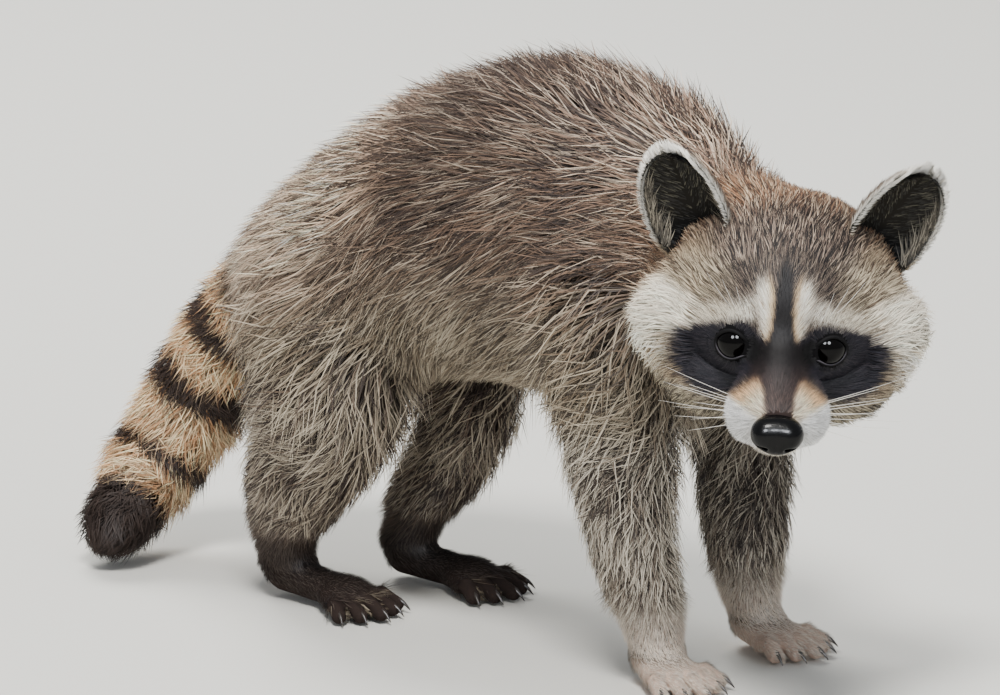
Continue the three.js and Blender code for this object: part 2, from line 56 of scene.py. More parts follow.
# ------------------------------------------------------------------ sizes
BOX_MIDDLE = (-10.640, 0.970)
HEAD_YAW, HEAD_PITCH, HEAD_ROLL = 49.0, 15.0, 3.7
HEAD_CENTRE = (-24.2, 149.8, 154.4)
EYE_RADIUS = 7.2
EYE_AT = (29.5, 16.6, -1.7)
NOSE_AT = (69.0, 0.0, -17.2)
EAR_LENGTH, EAR_WIDTH = 40.0, 36.0
CELL = 1.5  # fineness of the skin's mesh


def at(x, forward, z):
    return np.array([x, -forward, z], float)


SHIFT = -at(BOX_MIDDLE[0], BOX_MIDDLE[1], 0)


def world(p):
    return (np.asarray(p, float) + SHIFT) / 1000.0


def unit(v):
    v = np.asarray(v, float)
    return v / np.maximum(np.linalg.norm(v, axis=-1, keepdims=True), 1e-9)


def dots(a, b):
    return np.einsum("...i,...i->...", a, b)


def ramp(a, b, x):
    t = np.clip((x - a) / (b - a), 0, 1)
    return t * t * (3 - 2 * t)


def mix(a, b, t):
    return a + (b - a) * t


# ------------------------------------------------------------------ the head's own axes
def head_axes():
    y, p, r = (math.radians(v) for v in (HEAD_YAW, HEAD_PITCH, HEAD_ROLL))
    f = at(-math.sin(y) * math.cos(p), math.cos(y) * math.cos(p), -math.sin(p))
    l0 = at(math.cos(y), math.sin(y), 0)
    u0 = at(-math.sin(y) * math.sin(p), math.cos(y) * math.sin(p), math.cos(p))
    return (
        at(*HEAD_CENTRE),
        f,
        l0 * math.cos(r) - u0 * math.sin(r),
        u0 * math.cos(r) + l0 * math.sin(r),
    )


HO, HF, HL, HU = head_axes()


def on_head(f, l, u):
    f, l, u = np.asarray(f, float), np.asarray(l, float), np.asarray(u, float)
    return HO + f[..., None] * HF + l[..., None] * HL + u[..., None] * HU


def head_vector(f, l, u):
    return on_head(f, l, u) - HO


def in_head(p):
    q = p - HO
    return q @ HF, q @ HL, q @ HU


# ------------------------------------------------------------------ fields: negative inside, about a distance
def ellipsoid(a, b, c, ra, rb, rc):
    k0 = np.sqrt((a / ra) ** 2 + (b / rb) ** 2 + (c / rc) ** 2)
    k1 = np.sqrt((a / (ra * ra)) ** 2 + (b / (rb * rb)) ** 2 + (c / (rc * rc)) ** 2)
    return k0 * (k0 - 1) / np.maximum(k1, 1e-9)


def blend(a, b, k):
    h = np.maximum(k - np.abs(a - b), 0) / k
    return np.minimum(a, b) - h * h * k / 4


def carve(a, b, k):
    return -blend(-a, b, k)


FAR = 60.0


class Tube:
    """A tube through stations x, forward, z, half-width, half-depth, with the same numbers as the solid's."""

    def __init__(self, stations, end_share, steps=4):
        pts = np.array([at(*s[:3]) for s in stations])
        n = (len(pts) - 1) * steps
        c, w, h = [], [], []
        for i in range(n + 1):
            g = i / n * (len(pts) - 1)
            k = min(int(g), len(pts) - 2)
            g -= k
            s = g * g * (3 - 2 * g) * 0.5 + g * 0.5
            c.append(self.point(pts, k, g))
            w.append(mix(stations[k][3], stations[k + 1][3], s))
            h.append(mix(stations[k][4], stations[k + 1][4], s))
        self.c, self.w, self.h, self.share = np.array(c), np.array(w), np.array(h), end_share
        i = np.arange(n + 1)
        self.dir = unit(self.c[np.minimum(i + 1, n)] - self.c[np.maximum(i - 1, 0)])
        x = np.array([1.0, 0, 0])
        self.side = unit(x - self.dir * self.dir[:, :1])
        self.deep = np.cross(self.dir, self.side)
        self.arc = np.concatenate([[0], np.cumsum(np.linalg.norm(np.diff(self.c, axis=0), axis=1))])

    @staticmethod
    def point(p, k, g):
        p1, p2 = p[k], p[k + 1]
        p0 = p[k - 1] if k > 0 else 2 * p[0] - p[1]
        p3 = p[k + 2] if k + 2 < len(p) else 2 * p[-1] - p[-2]
        d0, d1, d2 = (max(float(((b - a) ** 2).sum()) ** 0.25, 1e-4) for a, b in ((p0, p1), (p1, p2), (p2, p3)))
        t1 = ((p1 - p0) / d0 - (p2 - p0) / (d0 + d1) + (p2 - p1) / d1) * d1
        t2 = ((p2 - p1) / d1 - (p3 - p1) / (d1 + d2) + (p3 - p2) / d2) * d1
        return p1 + t1 * g + (-3 * p1 + 3 * p2 - 2 * t1 - t2) * g * g + (2 * p1 - 2 * p2 + t1 + t2) * g**3

    def __call__(self, p):
        best = np.full(len(p), FAR)
        reach = max(self.w.max(), self.h.max()) + 34
        lo, hi = self.c.min(0) - reach, self.c.max(0) + reach
        near = np.nonzero(((p > lo) & (p < hi)).all(1))[0]
        q0 = p[near]
        got = best[near]
        for i in range(len(self.c) - 1):
            a, b = self.c[i], self.c[i + 1]
            d = b - a
            r = max(self.w[i], self.w[i + 1], self.h[i], self.h[i + 1]) + 30
            v = q0 - a
            m = np.nonzero((v * v).sum(1) < r * r)[0]
            if not len(m):
                continue
            v = v[m]
            g = np.clip(v @ d / (d @ d), 0, 1)
            v = v - g[:, None] * d
            w, h = mix(self.w[i], self.w[i + 1], g), mix(self.h[i], self.h[i + 1], g)
            s = unit(mix(self.side[i], self.side[i + 1], g[:, None]))
            e = unit(mix(self.deep[i], self.deep[i + 1], g[:, None]))
            f = unit(mix(self.dir[i], self.dir[i + 1], g[:, None]))
            got[m] = np.minimum(got[m], ellipsoid(dots(v, s), dots(v, e), dots(v, f), w, h, np.sqrt(w * h) * self.share))
        best[near] = got
        return best

    def nearest(self, p):
        """Index of the nearest centre-line sample, the arc length there (between samples) and the direction."""
        d2 = (p * p).sum(1)[:, None] - 2 * p @ self.c.T + (self.c**2).sum(1)
        i = d2.argmin(1)
        along = dots(p - self.c[i], self.dir[i])
        return i, np.clip(self.arc[i] + along, 0, self.arc[-1]), self.dir[i]


TRUNK = Tube(
    [
        (-2, 92, 148, 36, 62),
        (0, 52, 156, 51, 68),
        (0, 16, 158, 57, 67),
        (0, -25, 150, 58.5, 60),
        (0, -66, 134, 55.5, 50),
        (0, -98, 122.5, 46, 40),
        (0, -120, 117, 33, 30),
    ],
    0.62,
)
NECK = Tube([(-3, 84, 150, 28, 46), (-9, 106, 153, 27, 44), (-15, 128, 152, 29, 38)], 0.6)
LEGS = {
    "foreleg_right": Tube(
        [(-30, 80, 145, 25, 34), (-33, 80, 112, 23, 28), (-32, 80, 84, 19, 22), (-30, 82, 54, 15.5, 17), (-26, 88, 26, 13, 13), (-27, 92, 14, 11, 10)], 0.8
    ),
    "foreleg_left": Tube(
        [(30, 80, 145, 25, 34), (35, 79, 112, 23, 27), (36, 78, 84, 19, 21), (36, 79, 54, 16.5, 17), (35, 82, 26, 13, 13), (34, 86, 14, 10.5, 10)], 0.8
    ),
    "hindleg_right": Tube(
        [(-30, -68, 125, 28, 44), (-37, -62, 100, 28, 41), (-38, -66, 76, 22, 31), (-36, -82, 50, 18, 22), (-33, -92, 30, 13.5, 15), (-32, -93, 16, 11, 12)], 0.8
    ),
    "hindleg_left": Tube(
        [(28, -62, 122, 27, 40), (32, -59, 98, 24, 31), (31, -54, 76, 18, 22), (26, -61, 50, 15, 17), (20, -72, 30, 12.5, 13.5), (17, -77, 16, 10.5, 11.5)], 0.8
    ),
}
TAIL = Tube(
    [(0, -108, 126, 21, 21), (0, -131, 110, 22, 22), (-2, -153, 84, 23, 23), (-8, -167, 56, 23.5, 23.5), (-24, -175, 31, 21.5, 21.5), (-46, -171, 16, 16, 15.5)],
    0.95,
)
HEAD_BALLS = [
    (-6, 0, 3, 42, 42.5, 34.5),  # braincase
    (14, 0, 5, 24, 20, 22),  # brow
    (34, 0, -9.5, 23, 14.5, 14.3),  # root of the muzzle
    (49, 0, -15.5, 21.5, 13.6, 11),  # muzzle
    (52.5, 7.6, -18.6, 14.3, 10.1, 8.4),  # lips
    (52.5, -7.6, -18.6, 14.3, 10.1, 8.4),
    (41, 0, -26.2, 20.5, 11.8, 7.6),  # lower jaw
    (4, 30, -9, 24, 27, 22),  # cheek ruffs
    (4, -30, -9, 24, 27, 22),
    (2, 0, -24, 34, 36, 21),  # throat
    (12, 21, -24, 23, 23, 16),  # fur below the cheeks
    (12, -21, -24, 23, 23, 16),
]
EYE_HOLLOWS = [(43.5, 19, 0.5, 11, 10.8, 9.5), (43.5, -19, 0.5, 11, 10.8, 9.5)]


def head_field(p):
    d = np.full(len(p), FAR)
    q = p - HO
    near = np.nonzero((q * q).sum(1) < 130**2)[0]
    f, l, u = in_head(p[near])
    e = None
    for b in HEAD_BALLS:
        x = ellipsoid(f - b[0], l - b[1], u - b[2], *b[3:])
        e = x if e is None else blend(e, x, 8)
    for b in EYE_HOLLOWS:
        e = carve(e, ellipsoid(f - b[0], l - b[1], u - b[2], *b[3:]), 5)
    d[near] = np.minimum(e, FAR)
    return d


LEG_NAMES = list(LEGS)
PART_NAMES = ["trunk", "neck", "head", *LEG_NAMES, "tail"]


def parts_at(p):
    """The outline's distance to each part, as columns in the order of PART_NAMES."""
    return np.stack([TRUNK(p), NECK(p), head_field(p), *[LEGS[n](p) for n in LEG_NAMES], TAIL(p)], 1)


def outline_of(c):
    d = blend(c[:, 0], c[:, 1], 16)
    for i in range(4):
        d = blend(d, c[:, 3 + i], 16)
    d = blend(d, c[:, 7], 12)
    return blend(d, c[:, 2], 10)


def outline(p):
    return outline_of(parts_at(p))


def weights_of(c, soft=5.0):
    w = np.exp(-(c - c.min(1, keepdims=True)) / soft)
    return w / w.sum(1, keepdims=True)


# ------------------------------------------------------------------ depth of the coat
def around_trunk(p):
    """Height round the trunk's section, 1 at the ridge and -1 at the belly."""
    i, _, _ = TRUNK.nearest(p)
    q = p - TRUNK.c[i]
    return np.clip(dots(q, TRUNK.deep[i]) / TRUNK.h[i] * np.sign(TRUNK.deep[i][:, 2]), -1.1, 1.1)


def head_coat(p):
    f, l, u = in_head(p)
    a = np.abs(l)
    d = mix(7.0, 4.2, ramp(0, 26, f))  # crown to forehead
    d = mix(d, 13.0, ramp(24, 46, a) * ramp(34, 14, f) * ramp(22, 6, u))  # ruff
    d = mix(d, 12.0, ramp(-16, -34, u) * ramp(36, 18, f))  # throat
    eye = np.exp(-(((a - EYE_AT[1]) / 10) ** 2 + ((u - EYE_AT[2]) / 9) ** 2)) * ramp(12, 22, f)
    d = mix(d, 1.5, np.clip(eye * 1.35, 0, 1))
    d = mix(d, 1.5, ramp(30, 42, f))
    for side in (1, -1):
        e = on_head(EYE_AT[0], side * EYE_AT[1], EYE_AT[2])
        d = mix(d, 0.8, ramp(14.5, 9.0, np.linalg.norm(p - e, axis=1)))
    return d


def leg_coat(z, fore):
    z = np.clip(z, 0, 150)
    if fore:
        return np.interp(z, [0, 12, 24, 40, 60, 85, 110, 150], [0.8, 1.0, 2.4, 4.6, 6.5, 9.0, 13, 17])
    return np.interp(z, [0, 14, 26, 40, 60, 85, 110, 150], [0.9, 1.3, 3.2, 5.5, 8.5, 12, 16, 18])


def coat_depth(p, c=None, w=None):
    if c is None:
        c = parts_at(p)
    if w is None:
        w = weights_of(c)
    s = around_trunk(p)
    body = np.interp(s, [-1, -0.4, 0.3, 1], [17, 20, 21, 24])
    depth = [body, np.full(len(p), 18.0), head_coat(p)]
    depth += [leg_coat(p[:, 2], n.startswith("fore")) for n in LEG_NAMES]
    t = TAIL.nearest(p)[1] / TAIL.arc[-1]
    depth.append(np.interp(t, [0, 0.2, 0.85, 1], [14, 14.5, 13.5, 10]))
    return (w * np.stack(depth, 1)).sum(1)


# ------------------------------------------------------------------ paws
PAWS = {
    "foreleg_right": dict(heel=(-28, 90, 8), ball=(-30, 100, 6.4), heading=8, width=11.5, toe=15, claw=6, heel_r=8, ball_r=6.6),
    "foreleg_left": dict(heel=(34.5, 84, 8), ball=(34.5, 94, 6.4), heading=-4, width=11.5, toe=15, claw=6, heel_r=8, ball_r=6.6),
    "hindleg_right": dict(heel=(-32, -93, 9), ball=(-34, -60, 6.6), heading=6, width=11.5, toe=15, claw=5.5, heel_r=8.5, ball_r=6.8),
    "hindleg_left": dict(heel=(17, -77, 9), ball=(18, -44, 6.6), heading=-4, width=11.5, toe=15, claw=5.5, heel_r=8.5, ball_r=6.8),
}


def paw_frame(s):
    t = math.radians(s["heading"])
    forward, side = at(-math.sin(t), math.cos(t), 0), at(math.cos(t), math.sin(t), 0)
    toes = []
    B = at(*s["ball"])
    for i in (-2, -1, 0, 1, 2):
        a = math.radians(i * 13)
        way = forward * math.cos(a) + side * math.sin(a)
        long = s["toe"] * (1 - 0.055 * i * i)
        root = B + side * (i * s["width"] * 0.4) + forward * (s["ball_r"] * 0.8 - abs(i) * 1.6)
        root[2] = B[2] - 1.6
        end = root + way * long
        end[2] = 3.2
        toes.append((root, way, long, end))
    return forward, side, B, at(*s["heel"]), toes


def capsule(p, a, b, ra, rb):
    d = b - a
    g = np.clip((p - a) @ d / max(d @ d, 1e-9), 0, 1)
    return np.linalg.norm(p - a - g[:, None] * d, axis=1) - mix(ra, rb, g)


def paw_field(p, s):
    d = np.full(len(p), FAR)
    forward, side, B, H, toes = paw_frame(s)
    q = p - (B + H) / 2
    near = np.nonzero((np.abs(q[:, :2]) < 62).all(1) & (p[:, 2] < 42))[0]
    if not len(near):
        return d
    p = p[near]
    e = capsule(p, H, B, s["heel_r"] - 1.4, s["ball_r"] - 0.9)
    q = p - B
    e = blend(e, ellipsoid(q @ side, q @ forward, q[:, 2], s["width"] - 0.8, s["ball_r"] * 1.5, s["ball_r"] - 0.6), 4)
    digits = None
    for root, way, long, end in toes:
        knuckle = root + way * long * 0.45 + at(0, 0, 1.3)
        x = blend(capsule(p, root, knuckle, 3.0, 2.9), capsule(p, knuckle, end, 2.9, 2.75), 1.2)
        digits = x if digits is None else blend(digits, x, 0.9)
    d[near] = blend(e, digits, 2.6)
    return d


# ------------------------------------------------------------------ eyes sit in lids; each eye looks a little outward
def eye_axes(side):
    axis = unit(head_vector(1.0, side * 0.32, 0.20))
    across = unit(head_vector(-0.32, side * 1.0, 0.0))  # towards the outer corner
    across = unit(across - axis * (across @ axis))
    up = np.cross(axis, across) * (1 if side < 0 else -1)
    if up @ HU < 0:
        up = -up
    return on_head(EYE_AT[0], side * EYE_AT[1], EYE_AT[2]), axis, across, up


MOUTH = [(67, 0, -25.2), (65, 3.5, -26.0), (59, 8.2, -27.4), (51, 10.8, -27.4), (43, 12.2, -26.0), (36, 13.4, -24.0)]


def skin_field(p):
    c = parts_at(p)
    d = outline_of(c) + coat_depth(p, c)
    for s in PAWS.values():
        d = blend(d, paw_field(p, s), 6.0)
    q = p - HO
    near = np.nonzero((q * q).sum(1) < 95**2)[0]
    e, ph = d[near], p[near]
    for side in (1, -1):
        centre, axis, _, _ = eye_axes(side)
        e = blend(e, np.linalg.norm(ph - centre, axis=1) - 8.0, 2.5)
        bowl = centre + axis * (4.15 + 11.0)
        e = carve(e, np.linalg.norm(ph - bowl, axis=1) - 11.0, 2.2)
        line = [on_head(f, side * l, u) for f, l, u in MOUTH]
        groove = np.full(len(ph), FAR)
        for a, b in zip(line[:-1], line[1:]):
            groove = np.minimum(groove, capsule(ph, a, b, 1.15, 1.15))
        e = carve(e, groove, 1.6)
    d[near] = e
    return carve(d, p[:, 2] - 0.0, 1.2)


# ------------------------------------------------------------------ a field's surface as one closed mesh of quads
def surface(field, lo, hi, cell, polish=2, coarse=4, band=7.0):
    n = [int(math.ceil((hi[k] - lo[k]) / cell / coarse)) * coarse + 1 for k in range(3)]
    axes = [lo[k] + cell * np.arange(n[k]) for k in range(3)]
    ca = [a[::coarse] for a in axes]
    grid = np.stack(np.meshgrid(*ca, indexing="ij"), -1).reshape(-1, 3)
    cv = field(grid).reshape([len(a) for a in ca])
    # fine values: the coarse ones spread out, then the true ones wherever the surface may pass
    V = np.repeat(np.repeat(np.repeat(cv, coarse, 0), coarse, 1), coarse, 2)[: n[0], : n[1], : n[2]]
    near = np.abs(cv) < band + cell * coarse * 0.4
    cells = np.zeros([s - 1 for s in cv.shape], bool)
    signs = cv < 0
    mixed = np.zeros_like(cells)
    for i in (0, 1):
        for j in (0, 1):
            for k in (0, 1):
                sl = (slice(i, i + cells.shape[0]), slice(j, j + cells.shape[1]), slice(k, k + cells.shape[2]))
                cells |= near[sl]
                mixed |= signs[sl] != signs[:-1, :-1, :-1]
    cells |= mixed
    active = np.zeros(n, bool)
    up = np.repeat(np.repeat(np.repeat(cells, coarse, 0), coarse, 1), coarse, 2)
    for i in (0, 1):
        for j in (0, 1):
            for k in (0, 1):
                active[i : i + up.shape[0], j : j + up.shape[1], k : k + up.shape[2]] |= up
    I, J, K = np.nonzero(active)
    P = np.stack([axes[0][I], axes[1][J], axes[2][K]], 1)
    out = np.concatenate([field(P[s : s + 250000]) for s in range(0, len(P), 250000)])
    V = V.astype(np.float64)
    V[I, J, K] = out
    for ax in range(3):
        for side in (0, -1):
            sl = [slice(None)] * 3
            sl[ax] = side
            V[tuple(sl)] = np.maximum(V[tuple(sl)], cell * 0.5)
    S = V < 0
    count = np.zeros([s - 1 for s in n], np.int8)
    for i in (0, 1):
        for j in (0, 1):
            for k in (0, 1):
                count += S[i : i + n[0] - 1, j : j + n[1] - 1, k : k + n[2] - 1]
    mixed = (count > 0) & (count < 8)
    I, J, K = np.nonzero(mixed)
    index = np.full(mixed.shape, -1, np.int64)
    index[I, J, K] = np.arange(len(I))
    total, hits = np.zeros((len(I), 3)), np.zeros(len(I))
    for a in range(8):
        ca_ = (a & 1, (a >> 1) & 1, a >> 2)
        va = V[I + ca_[0], J + ca_[1], K + ca_[2]]
        for axis in range(3):
            if ca_[axis]:
                continue
            cb = list(ca_)
            cb[axis] = 1
            vb = V[I + cb[0], J + cb[1], K + cb[2]]
            cross = (va < 0) != (vb < 0)
            t = np.where(cross, va / np.where(cross, va - vb, 1), 0)
            for m in range(3):
                total[:, m] += cross * (ca_[m] + (t if m == axis else 0))
            hits += cross
    verts = np.stack([axes[0][I], axes[1][J], axes[2][K]], 1) + total / hits[:, None] * cell
    faces = []
    for axis in range(3):
        o1, o2 = [(1, 2), (0, 2), (0, 1)][axis]
        sl_a = [slice(1, -1)] * 3
        sl_b = [slice(1, -1)] * 3
        sl_a[axis], sl_b[axis] = slice(0, -1), slice(1, None)
        A, Bv = S[tuple(sl_a)], S[tuple(sl_b)]
        e = np.argwhere(A != Bv)
        off = np.array([1, 1, 1])
        off[axis] = 0
        e = e + off
        here = S[e[:, 0], e[:, 1], e[:, 2]]

        def cell_at(d1, d2):
            q = e.copy()
            q[:, o1] += d1
            q[:, o2] += d2
            return index[q[:, 0], q[:, 1], q[:, 2]]

        a, b, c, d = cell_at(-1, -1), cell_at(0, -1), cell_at(0, 0), cell_at(-1, 0)
        quad = np.stack([a, b, c, d], 1)
        flip = ~here if axis != 1 else here
        quad[flip] = quad[flip][:, ::-1]
        faces.append(quad)
    faces = np.concatenate(faces)
    for _ in range(polish):
        d = field(verts)
        g = np.stack([field(verts + 0.35 * np.eye(3)[k]) - d for k in range(3)], 1) / 0.35
        gg = np.maximum((g * g).sum(1), 0.05)
        step = np.clip(-d / gg, -cell * 0.35, cell * 0.35)
        verts = verts + g * step[:, None]
    return verts, faces


def normals_of(verts, faces):
    a = np.cross(verts[faces[:, 2]] - verts[faces[:, 0]], verts[faces[:, 3 if faces.shape[1] > 3 else 1]] - verts[faces[:, 1 if faces.shape[1] > 3 else 0]])
    if faces.shape[1] == 3:
        a = np.cross(verts[faces[:, 1]] - verts[faces[:, 0]], verts[faces[:, 2]] - verts[faces[:, 0]])
    n = np.zeros_like(verts)
    for k in range(faces.shape[1]):
        np.add.at(n, faces[:, k], a)
    return unit(n)


# ------------------------------------------------------------------ randomness, always the same
rng = np.random.default_rng(41)


def noise(p, scale, seed=0):
    """Smooth noise from -1 to 1, with no table: a hash of the lattice."""
    q = p / scale
    i = np.floor(q).astype(np.int64)
    f = q - i
    f = f * f * (3 - 2 * f)
    out = np.zeros(len(p))
    for dx in (0, 1):
        for dy in (0, 1):
            for dz in (0, 1):
                h = ((i[:, 0] + dx) * 73856093) ^ ((i[:, 1] + dy) * 19349663) ^ ((i[:, 2] + dz) * 83492791) ^ (seed * 26544357)
                h = (h ^ (h >> 13)) * 1274126177
                h = h ^ (h >> 16)
                v = (h & 0xFFFF) / 65535.0
                out += v * np.where(dx, f[:, 0], 1 - f[:, 0]) * np.where(dy, f[:, 1], 1 - f[:, 1]) * np.where(dz, f[:, 2], 1 - f[:, 2])
    return out * 2 - 1


# ------------------------------------------------------------------ the lie of the coat
def flow_of(p, w):
    f, l, u = in_head(p)
    a = np.abs(l)
    nose = on_head(72, 0, -10)
    head = unit(p - nose)
    sag = 0.30 * ramp(24, 46, a) * ramp(26, 0, u) + 0.75 * ramp(-20, -36, u) * ramp(40, 15, f)
    head = unit(head - sag[:, None] * HU)
    for side in (1, -1):
        e, axis, _, _ = eye_axes(side)
        q = p - e
        q = q - (q @ axis)[:, None] * axis
        r = np.linalg.norm(q, axis=1)
        t = 0.9 * ramp(11.5, 7.0, r) * ramp(20, 12, np.linalg.norm(p - e, axis=1))
        head = unit(mix(head, q / np.maximum(r, 1e-6)[:, None], t[:, None]))
    i, _, tdir = TRUNK.nearest(p)
    s = dots(p - TRUNK.c[i], TRUNK.deep[i]) / TRUNK.h[i] * np.sign(TRUNK.deep[i][:, 2])
    s = np.clip(s, -1.1, 1.1)
    down = np.interp(s, [-1, -0.5, 0.2, 0.7, 1.0], [0.55, 0.75, 0.45, 0.22, 0.05])
    down = down + 0.2 * ramp(-40, -100, -p[:, 1])
    trunk = unit(tdir - down[:, None] * np.array([0, 0, 1.0]))
    _, _, ndir = NECK.nearest(p)
    neck = unit(-ndir - (down + 0.15)[:, None] * np.array([0, 0, 1.0]))
    flows = [trunk, neck, head]
    z = p[:, 2]
    for n in LEG_NAMES:
        d = LEGS[n].nearest(p)[2]
        back = np.interp(z, [15, 30, 50, 90, 120], [0.05, 0.25, 0.55, 0.70, 0.80])
        leg = unit(d + back[:, None] * np.array([0, 1.0, 0]))
        forward = paw_frame(PAWS[n])[0]
        t = ramp(22, 11, z)[:, None]
        flows.append(unit(leg * (1 - t) + (forward + np.array([0, 0, -0.25])) * t))
    flows.append(TAIL.nearest(p)[2])
    return unit((w[:, :, None] * np.stack(flows, 1)).sum(1))


class Grid:
    def __init__(self, lo, hi, cell):
        self.lo, self.cell = np.array(lo, float), cell
        n = [int(math.ceil((hi[k] - lo[k]) / cell)) + 1 for k in range(3)]
        p = np.stack(np.meshgrid(*[lo[k] + cell * np.arange(n[k]) for k in range(3)], indexing="ij"), -1).reshape(-1, 3)
        d, depth, flow = np.zeros(len(p)), np.zeros(len(p)), np.zeros((len(p), 3))
        for s in range(0, len(p), 200000):
            q = p[s : s + 200000]
            c = parts_at(q)
            e = outline_of(c)
            for paw in PAWS.values():
                e = blend(e, paw_field(q, paw) - 0.9, 3.0)
            d[s : s + len(q)] = e
            near = np.nonzero(np.abs(d[s : s + len(q)]) < 45)[0]
            if len(near):
                w = weights_of(c[near], 6.0)
                depth[s + near] = coat_depth(q[near], c[near], weights_of(c[near]))
                flow[s + near] = flow_of(q[near], w)
        d = d.reshape(n)
        g = np.stack(np.gradient(d, cell), -1)
        self.v = np.concatenate([d[..., None], g, depth.reshape(n)[..., None], flow.reshape(*n, 3)], -1)
        self.n = np.array(n)

    def __call__(self, p):
        q = np.clip((p - self.lo) / self.cell, 0, self.n - 1.001)
        i = q.astype(int)
        f = q - i
        out = 0
        for dx in (0, 1):
            for dy in (0, 1):
                for dz in (0, 1):
                    wt = np.where(dx, f[:, 0], 1 - f[:, 0]) * np.where(dy, f[:, 1], 1 - f[:, 1]) * np.where(dz, f[:, 2], 1 - f[:, 2])
                    out = out + wt[:, None] * self.v[i[:, 0] + dx, i[:, 1] + dy, i[:, 2] + dz]
        return out[:, 0], unit(out[:, 1:4]), out[:, 4], unit(out[:, 5:8])


# ------------------------------------------------------------------ the marks of the coat, from where a point is
def rgb(*c):
    return np.array(c, float)


def paint_over(base, colour, t):
    return base + (np.asarray(colour, float) - base) * np.clip(t, 0, 1)[:, None]


def inside(x, lo, hi, soft):
    return ramp(lo - soft, lo + soft, x) * ramp(hi + soft, hi - soft, x)


BLACK, MASK = rgb(21, 17, 18), rgb(30, 29, 38)


